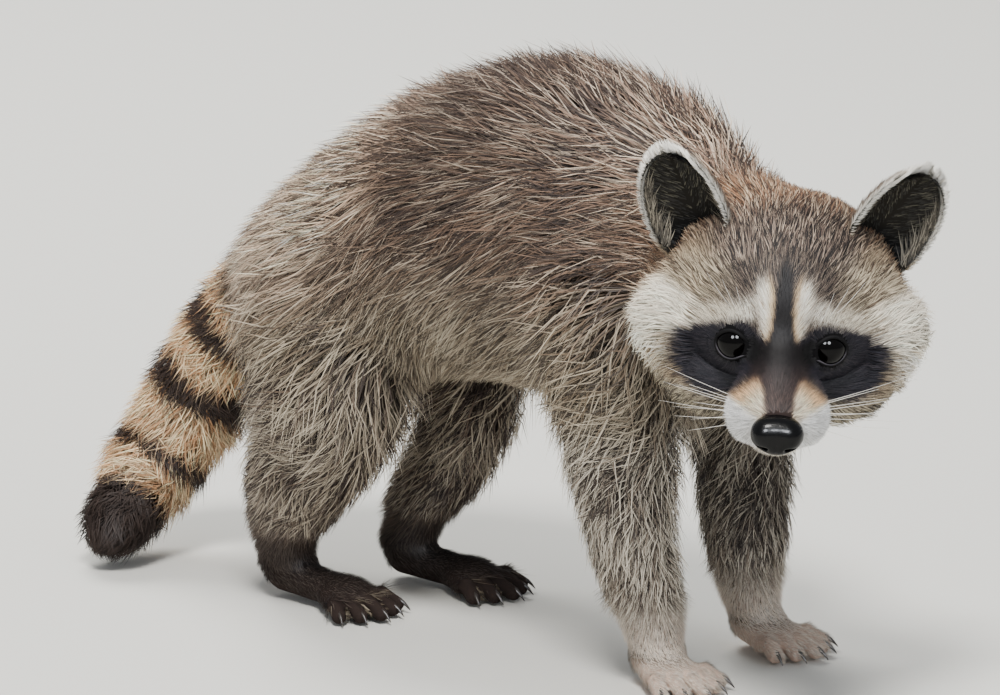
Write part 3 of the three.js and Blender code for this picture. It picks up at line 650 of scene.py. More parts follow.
def face_marks(p, wobble=0.0, pick=None):
    """Colour of the head's coat at p, and how much it is grizzled. wobble shifts a hair's place; pick, 0 to 1, chooses a dark or pale hair."""
    f, l, u = in_head(p)
    v = 0.484 * f - 0.875 * u + wobble
    a = np.abs(l) + wobble * 0.6
    n = len(p)
    pick = np.full(n, 0.5) if pick is None else pick
    back = ramp(6, -26, f)  # behind the ears
    # crown and forehead: dark and pale hairs mixed
    dark, pale = rgb(36, 30, 28), rgb(180, 163, 145)
    c = np.where((pick < 0.56)[:, None], dark, paint_over(np.tile(rgb(80, 65, 58), (n, 1)), pale, (pick - 0.56) * 2.1))
    grizzle = np.ones(n)
    rust = np.where((pick < 0.4)[:, None], rgb(92, 66, 54), rgb(168, 134, 114))
    c = paint_over(c, rgb(0, 0, 0) + rust, 0.75 * ramp(-36, -44, v))
    # paler tan over the brows and at the ears' feet
    tan = np.where((pick < 0.3)[:, None], rgb(92, 78, 66), rgb(176, 156, 128))
    c = paint_over(c, rgb(0, 0, 0) + tan, ramp(22, 32, a) * ramp(-30, -14, v) * (1 - back))
    # cheeks' ruff; on the animal's left side it is painted a little whiter, as painted light for the brighter light
    # falling on that side
    side = ramp(-10, 10, l)[:, None]
    ruff = mix(rgb(250, 242, 224), rgb(255, 250, 236), side)
    ruff = np.where((pick < mix(0.30, 0.08, ramp(44, 54, a)))[:, None], rgb(176, 154, 124), ruff)
    t = ramp(39, 47, a) * inside(v, -6, 38, 5) * ramp(-26, -8, f)
    c = paint_over(c, rgb(0, 0, 0) + ruff, t)
    grizzle = grizzle * (1 - t)
    # brow band
    mottled = np.where((pick < 0.44)[:, None], rgb(92, 78, 66), rgb(196, 182, 158))
    c = paint_over(c, rgb(0, 0, 0) + mottled, 0.85 * inside(v, -15, 4, 4) * ramp(16, 24, a) * ramp(-14, 0, f))
    lo = np.interp(a, [8, 12, 20, 30, 40, 50], [2, -1.0, 2.0, 1.5, -3, -8])
    hi = np.interp(a, [8, 12, 20, 30, 40, 50], [9, 8.5, 9.5, 12, 14, 18])
    brow = np.where((pick < 0.28)[:, None], rgb(124, 106, 88), mix(rgb(252, 246, 232), rgb(238, 228, 208), ramp(10, 24, a)[:, None]))
    brow = mix(brow, rgb(244, 236, 219), ramp(32, 42, a)[:, None] * 0.75)
    t = inside(v, lo, hi, 2.6) * ramp(8, 12, a) * ramp(-12, 4, f)
    c = paint_over(c, rgb(0, 0, 0) + brow, t)
    grizzle = grizzle * (1 - t)
    # cream blotch beside the stripe
    la = np.interp(v, [-9, -5, 0, 5, 10, 15, 18], [5.0, 4.2, 3.8, 3.8, 4.2, 5.4, 6.4])
    ha = np.interp(v, [-9, -5, 0, 5, 10, 15, 18], [8.5, 10.5, 10.8, 9.6, 8.6, 7.8, 7.0])
    t = inside(a, la, ha, 1.1) * inside(v, -7.5, 17.0, 2.5) * ramp(5, 14, f)
    cream = mix(rgb(255, 247, 232), rgb(236, 204, 160), ramp(la + 2.6, la + 0.6, a)[:, None])
    cream = np.where((pick < 0.14)[:, None], rgb(168, 140, 108), cream)
    c = paint_over(c, rgb(0, 0, 0) + cream, t)
    grizzle = grizzle * (1 - t)
    # below the mask: cream-grey
    low = np.where((pick < 0.36)[:, None], rgb(98, 86, 74), rgb(204, 190, 166))
    t = ramp(30, 36, v) * ramp(14, 22, a) * ramp(50, 34, f) * ramp(-20, -5, f)
    c = paint_over(c, rgb(0, 0, 0) + low, t)
    # throat
    throat = np.where((pick < 0.5)[:, None], rgb(74, 66, 56), rgb(164, 154, 132))
    t = ramp(-20, -30, u) * ramp(42, 30, f)
    c = paint_over(c, rgb(0, 0, 0) + throat, t)
    # the mask
    top = np.interp(a, [0, 6, 9, 12, 16, 20, 25, 30, 35, 38, 42], [14, 15, 12, 9.0, 8.2, 8.6, 9.6, 10.2, 10.6, 12, 15])
    bottom = np.interp(a, [0, 8, 12, 17, 20, 25, 30, 35, 38, 42], [27, 27, 28, 33.5, 35.5, 36, 34.5, 31, 28, 21])
    t = inside(v, top, bottom, 1.3) * ramp(43, 39.5, a) * ramp(-8, 6, f)
    mask = paint_over(np.tile(MASK, (n, 1)), rgb(60, 54, 60), (pick > 0.75) * 0.8)
    c = paint_over(c, mask, t)
    grizzle = grizzle * (1 - t)
    # the bridge between and below the eyes
    t = ramp(12.5, 9.0, a) * inside(v, 16, 60, 2.5) * ramp(20, 28, f)
    bridge = mix(rgb(26, 20, 21), rgb(58, 45, 43), ramp(22, 30, v)[:, None])
    bridge = mix(bridge, rgb(72, 57, 53), ramp(31, 36, v)[:, None])
    bridge = mix(bridge, rgb(44, 35, 34), ramp(39, 43, v)[:, None])
    c = paint_over(c, bridge * (1 + 0.5 * (pick - 0.5))[:, None], t)
    # the median stripe
    half = np.interp(v, [-16, -12, 0, 10, 15, 18, 22], [1.2, 2.0, 3.1, 3.7, 4.7, 7.5, 10])
    t = ramp(half + 0.9, half - 0.9, a) * ramp(-20, -9, v) * ramp(24, 20, v) * ramp(0, 10, f)
    c = paint_over(c, BLACK, t)
    grizzle = grizzle * (1 - t)
    # muzzle patches and white lips
    start = 28.6 + np.maximum(a - 8.8, 0) * 0.72
    tanm = mix(rgb(226, 184, 140), rgb(252, 232, 204), ramp(0, 9, v - start + 0.4 * (9 - a))[:, None])
    tanm = np.where((pick < 0.15)[:, None], tanm * 0.78, tanm)
    t = inside(a, np.interp(v, [28, 34, 42], [7.4, 5.6, 5.6]), 24, 1.2) * ramp(-1.4, 1.8, v - start) * ramp(34, 40, f)
    c = paint_over(c, rgb(0, 0, 0) + tanm, t)
    white = rgb(255, 253, 250)
    edge = v - (45.0 - 0.78 * (a - 6))
    t = ramp(5.5, 7.0, a) * ramp(-2.5, 2.0, edge) * ramp(34, 42, f) * ramp(32, 34, v)
    t = np.maximum(t, ramp(49, 52, v) * ramp(40, 48, f))
    c = paint_over(c, white, t)
    chin = ramp(-25, -28, u) * ramp(30, 40, f)
    c = paint_over(c, rgb(214, 206, 192), chin)
    # black skin right round the eyes
    for side in (1, -1):
        e = on_head(EYE_AT[0], side * EYE_AT[1], EYE_AT[2])
        t = ramp(9.6, 7.6, np.linalg.norm(p - e, axis=1))
        inner = on_head(EYE_AT[0] + 4, side * (EYE_AT[1] - 6.0), EYE_AT[2] + 0.2)
        t = np.maximum(t, ramp(6.2, 4.2, np.linalg.norm(p - inner, axis=1)))
        c = paint_over(c, rgb(12, 10, 12), t)
    # back of the head and the sides behind the cheeks
    nape = np.where((pick < 0.45)[:, None], rgb(66, 50, 42), np.where((pick < 0.75)[:, None], rgb(140, 102, 74), rgb(176, 154, 128)))
    c = paint_over(c, rgb(0, 0, 0) + nape, back * ramp(-30, -10, u))
    return c, grizzle


RINGS = [(22, 34, 0), (34, 47, 1), (47, 60, 0), (60, 76, 1), (76, 91, 0), (91, 112, 1), (112, 121, 0), (121, 138, 1), (138, 400, 0)]


def body_marks(p, w, pick, pick2):
    """Root, middle and tip colours for hairs on the trunk, neck, legs and tail."""
    n = len(p)
    s = around_trunk(p)
    z, y = p[:, 2], p[:, 1]
    ridge, low = ramp(0.3, 0.95, s), ramp(0.12, -0.6, s)
    rear = ramp(20, 100, y)
    p_dark = mix(mix(0.36, 0.52, ridge), 0.26, low)
    p_dark = mix(p_dark, p_dark * 0.72, rear * (1 - ridge))
    p_light = mix(mix(0.24, 0.20, ridge), 0.42, low)
    patch = noise(p, 18, 3) * 0.20 + noise(p, 6, 4) * 0.12
    q = np.clip(pick + patch, 0, 1)
    high_rear = ramp(0, 75, y) * ramp(-0.5, 0.0, s)
    brown = mix(rgb(120, 97, 81), rgb(122, 106, 86), np.clip(low, 0, 1)[:, None])
    brown = mix(brown, rgb(184, 162, 140), (0.85 * high_rear)[:, None])
    brown = mix(brown, rgb(132, 111, 97), (0.7 * ridge * (1 - rear))[:, None])
    darkc = mix(rgb(58, 47, 42), rgb(74, 64, 54), low[:, None])
    darkc = mix(darkc, rgb(104, 88, 76), (0.7 * high_rear)[:, None])
    light = mix(rgb(170, 153, 135), rgb(168, 155, 134), low[:, None])
    light = mix(light, rgb(214, 198, 176), (0.7 * high_rear)[:, None])
    light = mix(light, rgb(180, 165, 150), (0.6 * ridge * (1 - rear))[:, None])
    front = ramp(-70, -105, y)[:, None] * low[:, None]  # painted shade: the low chest is darkened for the shadow the head casts on it
    brown, light, darkc = brown * (1 - 0.2 * front), light * (1 - 0.16 * front), darkc * (1 - 0.2 * front)
    # the top of the rump and the nape are paler than the saddle between them
    gain = 1 + (np.interp(y, [-110, -85, -40, 10, 60, 100], [1.18, 1.26, 1.02, 0.84, 1.42, 1.12]) - 1) * ramp(-0.1, 0.4, s)
    brown, light = brown * gain[:, None], light * gain[:, None]
    is_dark, is_light = (q < p_dark), (q > 1 - p_light)
    mid = np.where(is_dark[:, None], darkc, np.where(is_light[:, None], light, brown))
    # rust on the nape, shoulders and behind the ears
    rust = ramp(-70, -140, y) * ramp(-0.2, 0.5, s) * (0.25 + 0.2 * noise(p, 14, 9))
    mid = paint_over(mid, rgb(142, 94, 64), rust * (~is_dark))
    # legs
    on_leg = np.zeros(n)
    for k, name in enumerate(LEG_NAMES):
        fore = name.startswith("fore")
        t = ramp(0.25, 0.8, w[:, 3 + k]) * ramp(112, 84, z)
        if fore:
            # the left foreleg gets far more dark hairs than the right, as painted shade for the shadow on it
            pd = np.interp(z, [10, 24, 45, 80, 110], [0.18, 0.34, 0.42, 0.36, 0.3]) + (0.24 if name.endswith("left") else 0.04)
            c = np.where((q < pd)[:, None], rgb(62, 52, 47), np.where((q < pd + 0.16)[:, None], rgb(134, 120, 106), rgb(206, 196, 180)))
            foot = ramp(38, 16, z)
            c = paint_over(c, np.where((q < 0.2)[:, None], rgb(206, 184, 168), rgb(248, 232, 214)), foot)
        else:
            pd = np.interp(z, [14, 26, 42, 64, 100], [0.97, 0.86, 0.58, 0.42, 0.34])
            c = np.where((q < pd)[:, None], rgb(56, 44, 39), np.where((q < pd + 0.16)[:, None], rgb(110, 93, 79), rgb(172, 158, 138)))
            c = paint_over(c, rgb(48, 37, 33), ramp(30, 14, z))
        # painted shade: the left foreleg is darkened further from 30 mm up, most from 62 mm up
        if name == "foreleg_left":
            c = c * mix(1.0, 0.74, ramp(30, 62, z)[:, None])
        mid = paint_over(mid, c, t)
        on_leg = np.maximum(on_leg, t)
    # tail
    _, arc, _ = TAIL.nearest(p)
    arc = arc + 2.2 * noise(p, 8, 21) + 5.0 * (pick2 - 0.5)
    on = ramp(0.3, 0.8, w[:, 7])
    lightness = np.zeros(n)
    for a, b, v in RINGS:
        if v:
            lightness += inside(arc, a, b, 2.6)
    tc = mix(rgb(50, 39, 34), np.where((pick < 0.45)[:, None], rgb(184, 140, 102), rgb(238, 208, 168)), np.clip(lightness, 0, 1)[:, None])
    tc = mix(tc, mid, ramp(30, 22, arc)[:, None])
    mid = paint_over(mid, tc, on)
    root = mid * 0.62 + rgb(30, 24, 20) * 0.38
    root = paint_over(root, mid, low * 0.3)
    # pale tips over a dark core on the legs, the thighs and the lower flank
    wisp = np.maximum(on_leg * ramp(20, 32, z), 0.6 * low) * (1 - on)
    root = paint_over(root, rgb(56, 46, 41), 0.8 * wisp)
    tip = mid.copy()
    mid = paint_over(mid, mid * 0.80, wisp)
    banded = (~is_dark) & (pick2 < mix(0.5, 0.06, low)) & (on < 0.5) & (z > 90)
    tip = np.where(banded[:, None], rgb(48, 38, 35), tip)
    paler = (~banded) & (~is_dark) & (pick2 > 0.7)
    tip = np.where(paler[:, None], np.minimum(tip * 1.16, 238), tip)
    tip = paint_over(tip, rgb(222, 212, 194), wisp * (pick2 > 0.35) * (~is_dark) * 0.55)
    return root, mid, tip


def linear(c):
    c = np.clip(np.asarray(c, float) / 255.0, 0, 1)
    return np.where(c <= 0.04045, c / 12.92, ((c + 0.055) / 1.055) ** 2.4)


# ------------------------------------------------------------------ materials
def material(name, colour=None, rough=0.6, spec=0.4, coat=0.0, coat_rough=0.05, sheen=0.0, attribute=None, bump=None, under=0.0):
    m = bpy.data.materials.new(name)
    m.use_nodes = True
    nt = m.node_tree
    b = nt.nodes["Principled BSDF"]
    b.inputs["Roughness"].default_value = rough
    b.inputs["Specular IOR Level"].default_value = spec
    b.inputs["Coat Weight"].default_value = coat
    b.inputs["Coat Roughness"].default_value = coat_rough
    b.inputs["Sheen Weight"].default_value = sheen
    b.inputs["Sheen Roughness"].default_value = 0.5
    if attribute:
        a = nt.nodes.new("ShaderNodeAttribute")
        a.attribute_name = attribute
        nt.links.new(a.outputs["Color"], b.inputs["Base Color"])
    else:
        b.inputs["Base Color"].default_value = (*linear(colour), 1)
    if under:
        b.inputs["Subsurface Weight"].default_value = under
        b.inputs["Subsurface Radius"].default_value = (0.004, 0.002, 0.001)
        b.inputs["Subsurface Scale"].default_value = 0.5
    if bump:
        scale, distance, detail = bump
        t = nt.nodes.new("ShaderNodeTexCoord")
        x = nt.nodes.new("ShaderNodeTexNoise")
        x.inputs["Scale"].default_value = scale
        x.inputs["Detail"].default_value = detail
        k = nt.nodes.new("ShaderNodeBump")
        k.inputs["Distance"].default_value = distance
        k.inputs["Strength"].default_value = 0.6
        nt.links.new(t.outputs["Object"], x.inputs["Vector"])
        nt.links.new(x.outputs["Fac"], k.inputs["Height"])
        nt.links.new(k.outputs["Normal"], b.inputs["Normal"])
    return m


def make(name, verts, faces, mat, slot, colours=None, uv=None, normals=None, smooth=True):
    """A mesh object from arrays in millimetres. faces is one array of equal faces, or a list of such arrays."""
    groups = [np.asarray(g, np.int32) for g in (faces if isinstance(faces, list) else [faces]) if len(g)]
    me = bpy.data.meshes.new(name)
    V = world(verts).astype(np.float32)
    me.vertices.add(len(V))
    me.vertices.foreach_set("co", V.ravel())
    loops = np.concatenate([g.ravel() for g in groups])
    sizes = np.concatenate([np.full(len(g), g.shape[1], np.int32) for g in groups])
    me.loops.add(len(loops))
    me.loops.foreach_set("vertex_index", loops)
    me.polygons.add(len(sizes))
    me.polygons.foreach_set("loop_start", np.concatenate([[0], np.cumsum(sizes)[:-1]]).astype(np.int32))
    me.polygons.foreach_set("use_smooth", np.full(len(sizes), smooth))
    me.update(calc_edges=True)
    if colours is not None:
        a = me.color_attributes.new("coat", "FLOAT_COLOR", "POINT")
        c = np.ones((len(V), 4), np.float32)
        c[:, :3] = linear(colours)
        a.data.foreach_set("color", c.ravel())
    if uv is not None:
        layer = me.uv_layers.new(name="OFBake")
        layer.uv.foreach_set("vector", np.asarray(uv, np.float32)[loops].ravel())
    if normals is not None:
        me.normals_split_custom_set_from_vertices(unit(normals).astype(np.float32))
    me.materials.append(mat)
    o = bpy.data.objects.new(name, me)
    bpy.context.scene.collection.objects.link(o)
    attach(o, "root")
    return o


MATS = {
    "skin": material("skin", rough=0.9, spec=0.08, attribute="coat", bump=(420, 0.0006, 3)),
    "coat": material("coat", rough=0.6, spec=0.22, attribute="coat", sheen=0.02),
    "eye": material("eye", (4, 3, 3), rough=0.02, spec=0.13),
    "lid": material("lid", rough=0.75, spec=0.12, attribute="coat"),
    "nose": material("nose", (3, 3, 4), rough=0.26, spec=0.13, coat=0.14, coat_rough=0.08, bump=(1500, 0.00012, 1)),
    "claw": material("claw", (44, 37, 33), rough=0.35, spec=0.5),
    "whisker": material("whisker", (238, 234, 226), rough=0.4, spec=0.4),
    "floor": material("floor", (214, 213, 208), rough=0.9, spec=0.15),
}


# ------------------------------------------------------------------ the skin
def leaf(side, inset=0.0, thick_share=1.0, rows=26, cols=20):
    """The ear as points on the back sheet and the hollow sheet, given by the function it returns, with the ear's own
    axes. rows and cols are not used.
    """
    tilt, lean, turn = math.radians(33 if side > 0 else 27), math.radians(8), math.radians(24)
    up = unit(np.array([-math.sin(lean), side * math.sin(tilt), math.cos(tilt)]))
    face0 = np.array([math.cos(turn), side * math.sin(turn), 0])
    wide = unit(np.cross(up, face0))
    face = np.cross(wide, up)
    root = np.array([-9.0, side * 28.6, 17.2])

    def place(a, b, c):
        q = root + a[..., None] * up + b[..., None] * wide + c[..., None] * face
        return on_head(q[..., 0], q[..., 1], q[..., 2])

    def half_width(t):
        low = mix(0.86, 1, np.sin(np.clip(t / 0.3, 0, 1) * np.pi / 2))
        high = np.sqrt(np.maximum(1 - np.clip((t - 0.3) / 0.7, 0, 1) ** 2.3, 0))
        return EAR_WIDTH / 2 * np.where(t < 0.3, low, high)

    def point(t, x, layer):
        """t up the ear from 0 to 1, x across it from -1 to 1, layer -1 at the back and 1 in the hollow."""
        t, x = np.asarray(t, float), np.asarray(x, float)
        w = np.maximum(half_width(t) - inset, 0.3)
        cup, thick = mix(10, 3.5, t), mix(5.2, 2.6, t) * thick_share
        a = (EAR_LENGTH - inset) * t
        return place(a, w * np.sin(x * np.pi / 2), cup * x * x - cup * 0.3 + layer * thick * 0.5 * (1 - x**6))

    axes = [head_vector(*up), head_vector(*wide), head_vector(*face)]
    return point, axes


def ear_shell(side):
    point, _ = leaf(side, 1.9, 0.5)
    rows, cols = 30, 22
    t = np.concatenate([[-0.32, -0.16], 1 - (1 - np.linspace(0, 1, rows)) ** 1.5])
    x = np.linspace(-1, 1, cols)
    T, X = np.meshgrid(t, x, indexing="ij")
    back, hollow = point(T, X, -1), point(T[:, 1:-1], X[:, ::-1][:, 1:-1], 1)
    ring = np.concatenate([back, hollow], 1)
    n, m = ring.shape[:2]
    V = ring.reshape(-1, 3)
    i, j = np.meshgrid(np.arange(n - 1), np.arange(m), indexing="ij")
    a, b = i * m + j, i * m + (j + 1) % m
    quads = np.stack([a, b, b + m, a + m], -1).reshape(-1, 4)
    V = np.concatenate([V, ring[0].mean(0)[None], ring[-1].mean(0)[None]])
    j = np.arange(m)
    foot = np.stack([(j + 1) % m, j, np.full(m, n * m)], 1)
    top = np.stack([(n - 1) * m + j, (n - 1) * m + (j + 1) % m, np.full(m, n * m + 1)], 1)
    TX = np.concatenate([np.stack([np.repeat(t, m), np.tile(np.concatenate([x, x[::-1][1:-1]]), n)], 1), [[-0.3, 0], [1, 0]]])
    lay = np.concatenate([np.tile(np.concatenate([-np.ones(cols), np.ones(m - cols)]), n), [0, 0]])
    return V, quads, np.concatenate([foot, top]), TX[:, 0], TX[:, 1], lay


def volume_sign(v, f):
    a, b, c = v[f[:, 0]], v[f[:, 1]], v[f[:, 2]]
    return float(dots(a, np.cross(b, c)).sum())


def ear_paint(t, x, lay, pick):
    """Colour of an ear's coat: pale rim, dark hollow that goes nearly black deep at its foot as painted shade, pale
    hairs along its edges, dark brown back.
    """
    n = len(t)
    rim = np.maximum(ramp(0.90, 0.99, np.abs(x)), ramp(0.94, 0.995, t))
    # painted shade: deep in the hollow, towards its foot and middle, the colour goes nearly black
    deep = ramp(0.42, 0.05, t) * ramp(0.9, 0.4, np.abs(x))
    hollow = paint_over(np.tile(rgb(38, 35, 30), (n, 1)), rgb(10, 9, 8), np.clip(deep * 1.5, 0, 1))
    hollow = paint_over(hollow, rgb(118, 114, 96), (pick > 0.78) * (1 - deep) * 0.7)
    backc = paint_over(np.tile(rgb(112, 96, 82), (n, 1)), rgb(66, 53, 46), (pick < 0.5) * 0.8)
    backc = paint_over(backc, rgb(206, 196, 180), ramp(0.55, 0.95, t) * 0.8)
    c = np.where((lay > 0)[:, None], hollow, backc)
    c = paint_over(c, rgb(236, 232, 222), rim * ramp(0.02, 0.25, t))
    return paint_over(c, rgb(178, 156, 128), rim * ramp(0.25, 0.02, t) * 0.8)


def skin_colours(p, w):
    one = np.full(len(p), 0.55)
    head, _ = face_marks(p, 0.0, one)
    r, m, _ = body_marks(p, w, one, one)
    body = r * 0.72
    hw = w[:, 2:3]
    c = body * (1 - hw) + head * 0.72 * hw
    foot = ramp(13, 8, p[:, 2])[:, None]
    fore = (p[:, 1] < 0)[:, None]
    return mix(c, np.where(fore, rgb(196, 170, 154), rgb(44, 35, 32)), foot)


box_lo, box_hi = at(-80, 203, -4.5), at(62, -205, 232)
box_lo, box_hi = np.minimum(box_lo, box_hi), np.maximum(box_lo, box_hi)
box_lo[2] = -4.5
SKIN_V, SKIN_F = surface(skin_field, box_lo, box_hi, CELL)
if volume_sign(SKIN_V, SKIN_F) < 0:
    SKIN_F = SKIN_F[:, ::-1]
SKIN_N = normals_of(SKIN_V, SKIN_F)
SKIN_C = parts_at(SKIN_V)
SKIN_W = weights_of(SKIN_C, 4.0)
GRID = Grid(box_lo - 34, box_hi + 34, 3.6)

ears = {}
all_v, quads, tris, cols = [SKIN_V], [SKIN_F], [], [skin_colours(SKIN_V, SKIN_W)]
base = len(SKIN_V)
for side in (1, -1):
    V, Q, T3, et, ex, lay = ear_shell(side)
    if volume_sign(V, Q) < 0:
        Q, T3 = Q[:, ::-1], T3[:, ::-1]
    ears[side] = (V, Q, T3, et, ex, lay)
    all_v.append(V)
    quads.append(Q + base)
    tris.append(T3 + base)
    cols.append(ear_paint(et, ex, lay, np.full(len(V), 0.5)) * 0.82)
    base += len(V)
skin = make("skin", np.concatenate(all_v), [np.concatenate(quads), np.concatenate(tris)], MATS["skin"], "coat_body", np.concatenate(cols))
FLESH = [n for n in frame["nodes"] if not n.startswith("eye") and n != "nose_pad"]
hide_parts(*FLESH)


# ------------------------------------------------------------------ tufts
SHAPES = {2: [1.0], 3: [0.8, 0.9], 4: [0.7, 1.0, 0.66]}


def blades(points, normal, width, colour, uv, soft=0.66, thick=0.34):
    """Closed three-sided blades that taper to a point. points and colour are (K, N, 3)."""
    K, N = points.shape[:2]
    verts, norms, cols_ = [], [], []
    for k in range(K - 1):
        d = unit(points[k + 1] - points[max(k - 1, 0)])
        across = unit(np.cross(d, normal))
        top = np.cross(across, d)
        w = (width * SHAPES[K][k])[:, None] / 2
        for off, nn in ((-across * w, -across), (across * w, across), (top * w * 2 * thick, top)):
            verts.append(points[k] + off)
            norms.append(normal * soft + nn * (1 - soft))
            cols_.append(colour[k])
    verts.append(points[-1])
    norms.append(normal)
    cols_.append(colour[-1])
    m = 3 * (K - 1) + 1
    V = np.stack(verts, 1)
    patch = []
    for k in range(K - 1):
        v = -0.0015 + 0.003 * k / (K - 1)
        patch += [(-0.0015, v), (0.0015, v), (0.0, v)]
    patch.append((0.0, 0.0015))
    UV = np.clip(uv, 0.0016, 0.9984)[:, None, :] + np.array(patch)[None]
    t = [(0, 1, 2)]
    for k in range(K - 2):
        a0, b0, c0, a1, b1, c1 = (3 * k + j for j in range(6))
        t += [(b0, a0, a1), (b0, a1, b1), (c0, b0, b1), (c0, b1, c1), (a0, c0, c1), (a0, c1, a1)]
    a, b, c, e = 3 * (K - 2), 3 * (K - 2) + 1, 3 * (K - 2) + 2, m - 1
    t += [(b, a, e), (c, b, e), (a, c, e)]
    T = (np.array(t)[None] + (np.arange(N) * m)[:, None, None]).reshape(-1, 3)
    return V.reshape(-1, 3), T, np.stack(norms, 1).reshape(-1, 3), np.stack(cols_, 1).reshape(-1, 3), UV.reshape(-1, 2)


def spindles(points, normal, width, colour, uv, soft=0.66, thick=0.36):
    """Closed tufts of six faces: a point in the skin, three corners part of the way along, and a point at the tip."""
    N = points.shape[1]
    d = unit(points[2] - points[0])
    across = unit(np.cross(d, normal))
    top = np.cross(across, d)
    w = width[:, None] / 2
    corners = [(-across * w, -across), (across * w, across), (top * w * 2 * thick, top)]
    V = np.stack([points[0], *(points[1] + off for off, _ in corners), points[2]], 1)
    norms = np.stack([normal, *(normal * soft + nn * (1 - soft) for _, nn in corners), normal], 1)
    cols_ = np.stack([colour[0], colour[1], colour[1], colour[1], colour[2]], 1)
    patch = np.array([(0.0, -0.0015), (-0.0015, 0.0), (0.0015, 0.0), (0.0, 0.0003), (0.0, 0.0015)])
    UV = np.clip(uv, 0.0016, 0.9984)[:, None, :] + patch[None]
    t = [(0, 1, 2), (0, 2, 3), (0, 3, 1), (2, 1, 4), (3, 2, 4), (1, 3, 4)]
    T = (np.array(t)[None] + (np.arange(N) * 5)[:, None, None]).reshape(-1, 3)
    return V.reshape(-1, 3), T, norms.reshape(-1, 3), cols_.reshape(-1, 3), UV.reshape(-1, 2)


class Coat:
    def __init__(self):
        self.parts = {}

    def add(self, name, *arrays):
        self.parts.setdefault(name, []).append(arrays)

    def build(self, slots):
        total = 0
        for name in sorted(self.parts):
            vs, ts, ns, cs, us, base = [], [], [], [], [], 0
            for v, t, n, c, u in self.parts[name]:
                vs.append(v)
                ts.append(t + base)
                ns.append(n)
                cs.append(c)
                us.append(u)
                base += len(v)
            t = np.concatenate(ts)
            print("coat piece", name, len(t), "triangles")
            assert len(t) < 200000, name
            total += len(t)
            make(name, np.concatenate(vs), t, MATS["coat"], slots(name), np.concatenate(cs), np.concatenate(us), np.concatenate(ns))
        print("coat total", total)


coat = Coat()


def scatter(density):
    """Places on the skin's quads, spread evenly by area times the density at each quad's middle."""
    v = SKIN_V[SKIN_F]
    area = np.linalg.norm(np.cross(v[:, 2] - v[:, 0], v[:, 3] - v[:, 1]), axis=1) / 2
    want = np.cumsum(area * density)
    n = int(want[-1])
    i = np.minimum(np.searchsorted(want, (np.arange(n) + rng.random(n)) * want[-1] / n), len(area) - 1)
    s, t = rng.random(n), rng.random(n)
    ws = np.stack([(1 - s) * (1 - t), s * (1 - t), s * t, (1 - s) * t], 1)
    p = (v[i] * ws[:, :, None]).sum(1)
    nrm = unit((SKIN_N[SKIN_F[i]] * ws[:, :, None]).sum(1))
    w = (SKIN_W[SKIN_F[i]] * ws[:, :, None]).sum(1)
    return p, nrm, w


def trace(root, normal, run, height, rings, swing, rise=1.7, sink=0.7):
    """Each tuft's points: from its root it follows the lie of the coat, rising to its share of the coat's depth."""
    _, _, depth, flow = GRID(root)
    depth = np.maximum(depth, 0.6)
    pts = [root - normal * np.minimum(sink, depth * 0.5)[:, None]]
    if rings == 1:  # short hairs are straight
        f = unit(flow - normal * dots(flow, normal)[:, None])
        side = np.cross(normal, f)
        f = f * np.cos(swing)[:, None] + side * np.sin(swing)[:, None]
        tip = root + f * run[:, None] + normal * (depth * height)[:, None]
        tip[:, 2] = np.maximum(tip[:, 2], 0.3)
        return np.stack([pts[0], tip])
    p = root.copy()
    for k in range(1, rings + 1):
        t = k / rings
        _, g, _, flow = GRID(p)
        f = unit(flow - g * dots(flow, g)[:, None])
        turn = swing * t
        side = np.cross(g, f)
        f = f * np.cos(turn)[:, None] + side * np.sin(turn)[:, None]
        p = p + f * (run / rings)[:, None]
        target = -depth * (1 - height * (1 - (1 - t) ** rise))
        for _ in range(2):
            d, g, _, _ = GRID(p)
            p = p + g * np.clip(target - d, -12, 12)[:, None]
        p[:, 2] = np.maximum(p[:, 2], 0.3)
        pts.append(p.copy())
    return np.stack(pts)


def clump(points, spacing, pull, seed):
    """Draws tufts together towards the nearest of some of them, more so at the tips."""
    from mathutils import kdtree

    root = points[0]
    n = len(root)
    if n < 50:
        return points
    cells = np.floor((root + rng.random(3) * spacing) / spacing).astype(np.int64)
    key = cells[:, 0] * 73856093 ^ cells[:, 1] * 19349663 ^ cells[:, 2] * 83492791
    order = rng.permutation(n)
    _, first = np.unique(key[order], return_index=True)
    centres = order[first]
    tree = kdtree.KDTree(len(centres))
    for j, c in enumerate(centres):
        tree.insert(root[c], j)
    tree.balance()
    which = np.fromiter((tree.find(p)[1] for p in root), int, n)
    c = centres[which]
    out = points.copy()
    K = len(points)
    gap = np.linalg.norm(root[c] - root, axis=1)
    strength = pull * ramp(spacing * 1.6, spacing * 0.7, gap)
    for k in range(1, K):
        t = (k / (K - 1)) ** 1.4
        out[k] = points[k] + (points[k][c] - points[k]) * (strength * t)[:, None]
    return out


def cast(u, lo, hi):
    return (u - lo) / max(hi - lo, 1e-6)


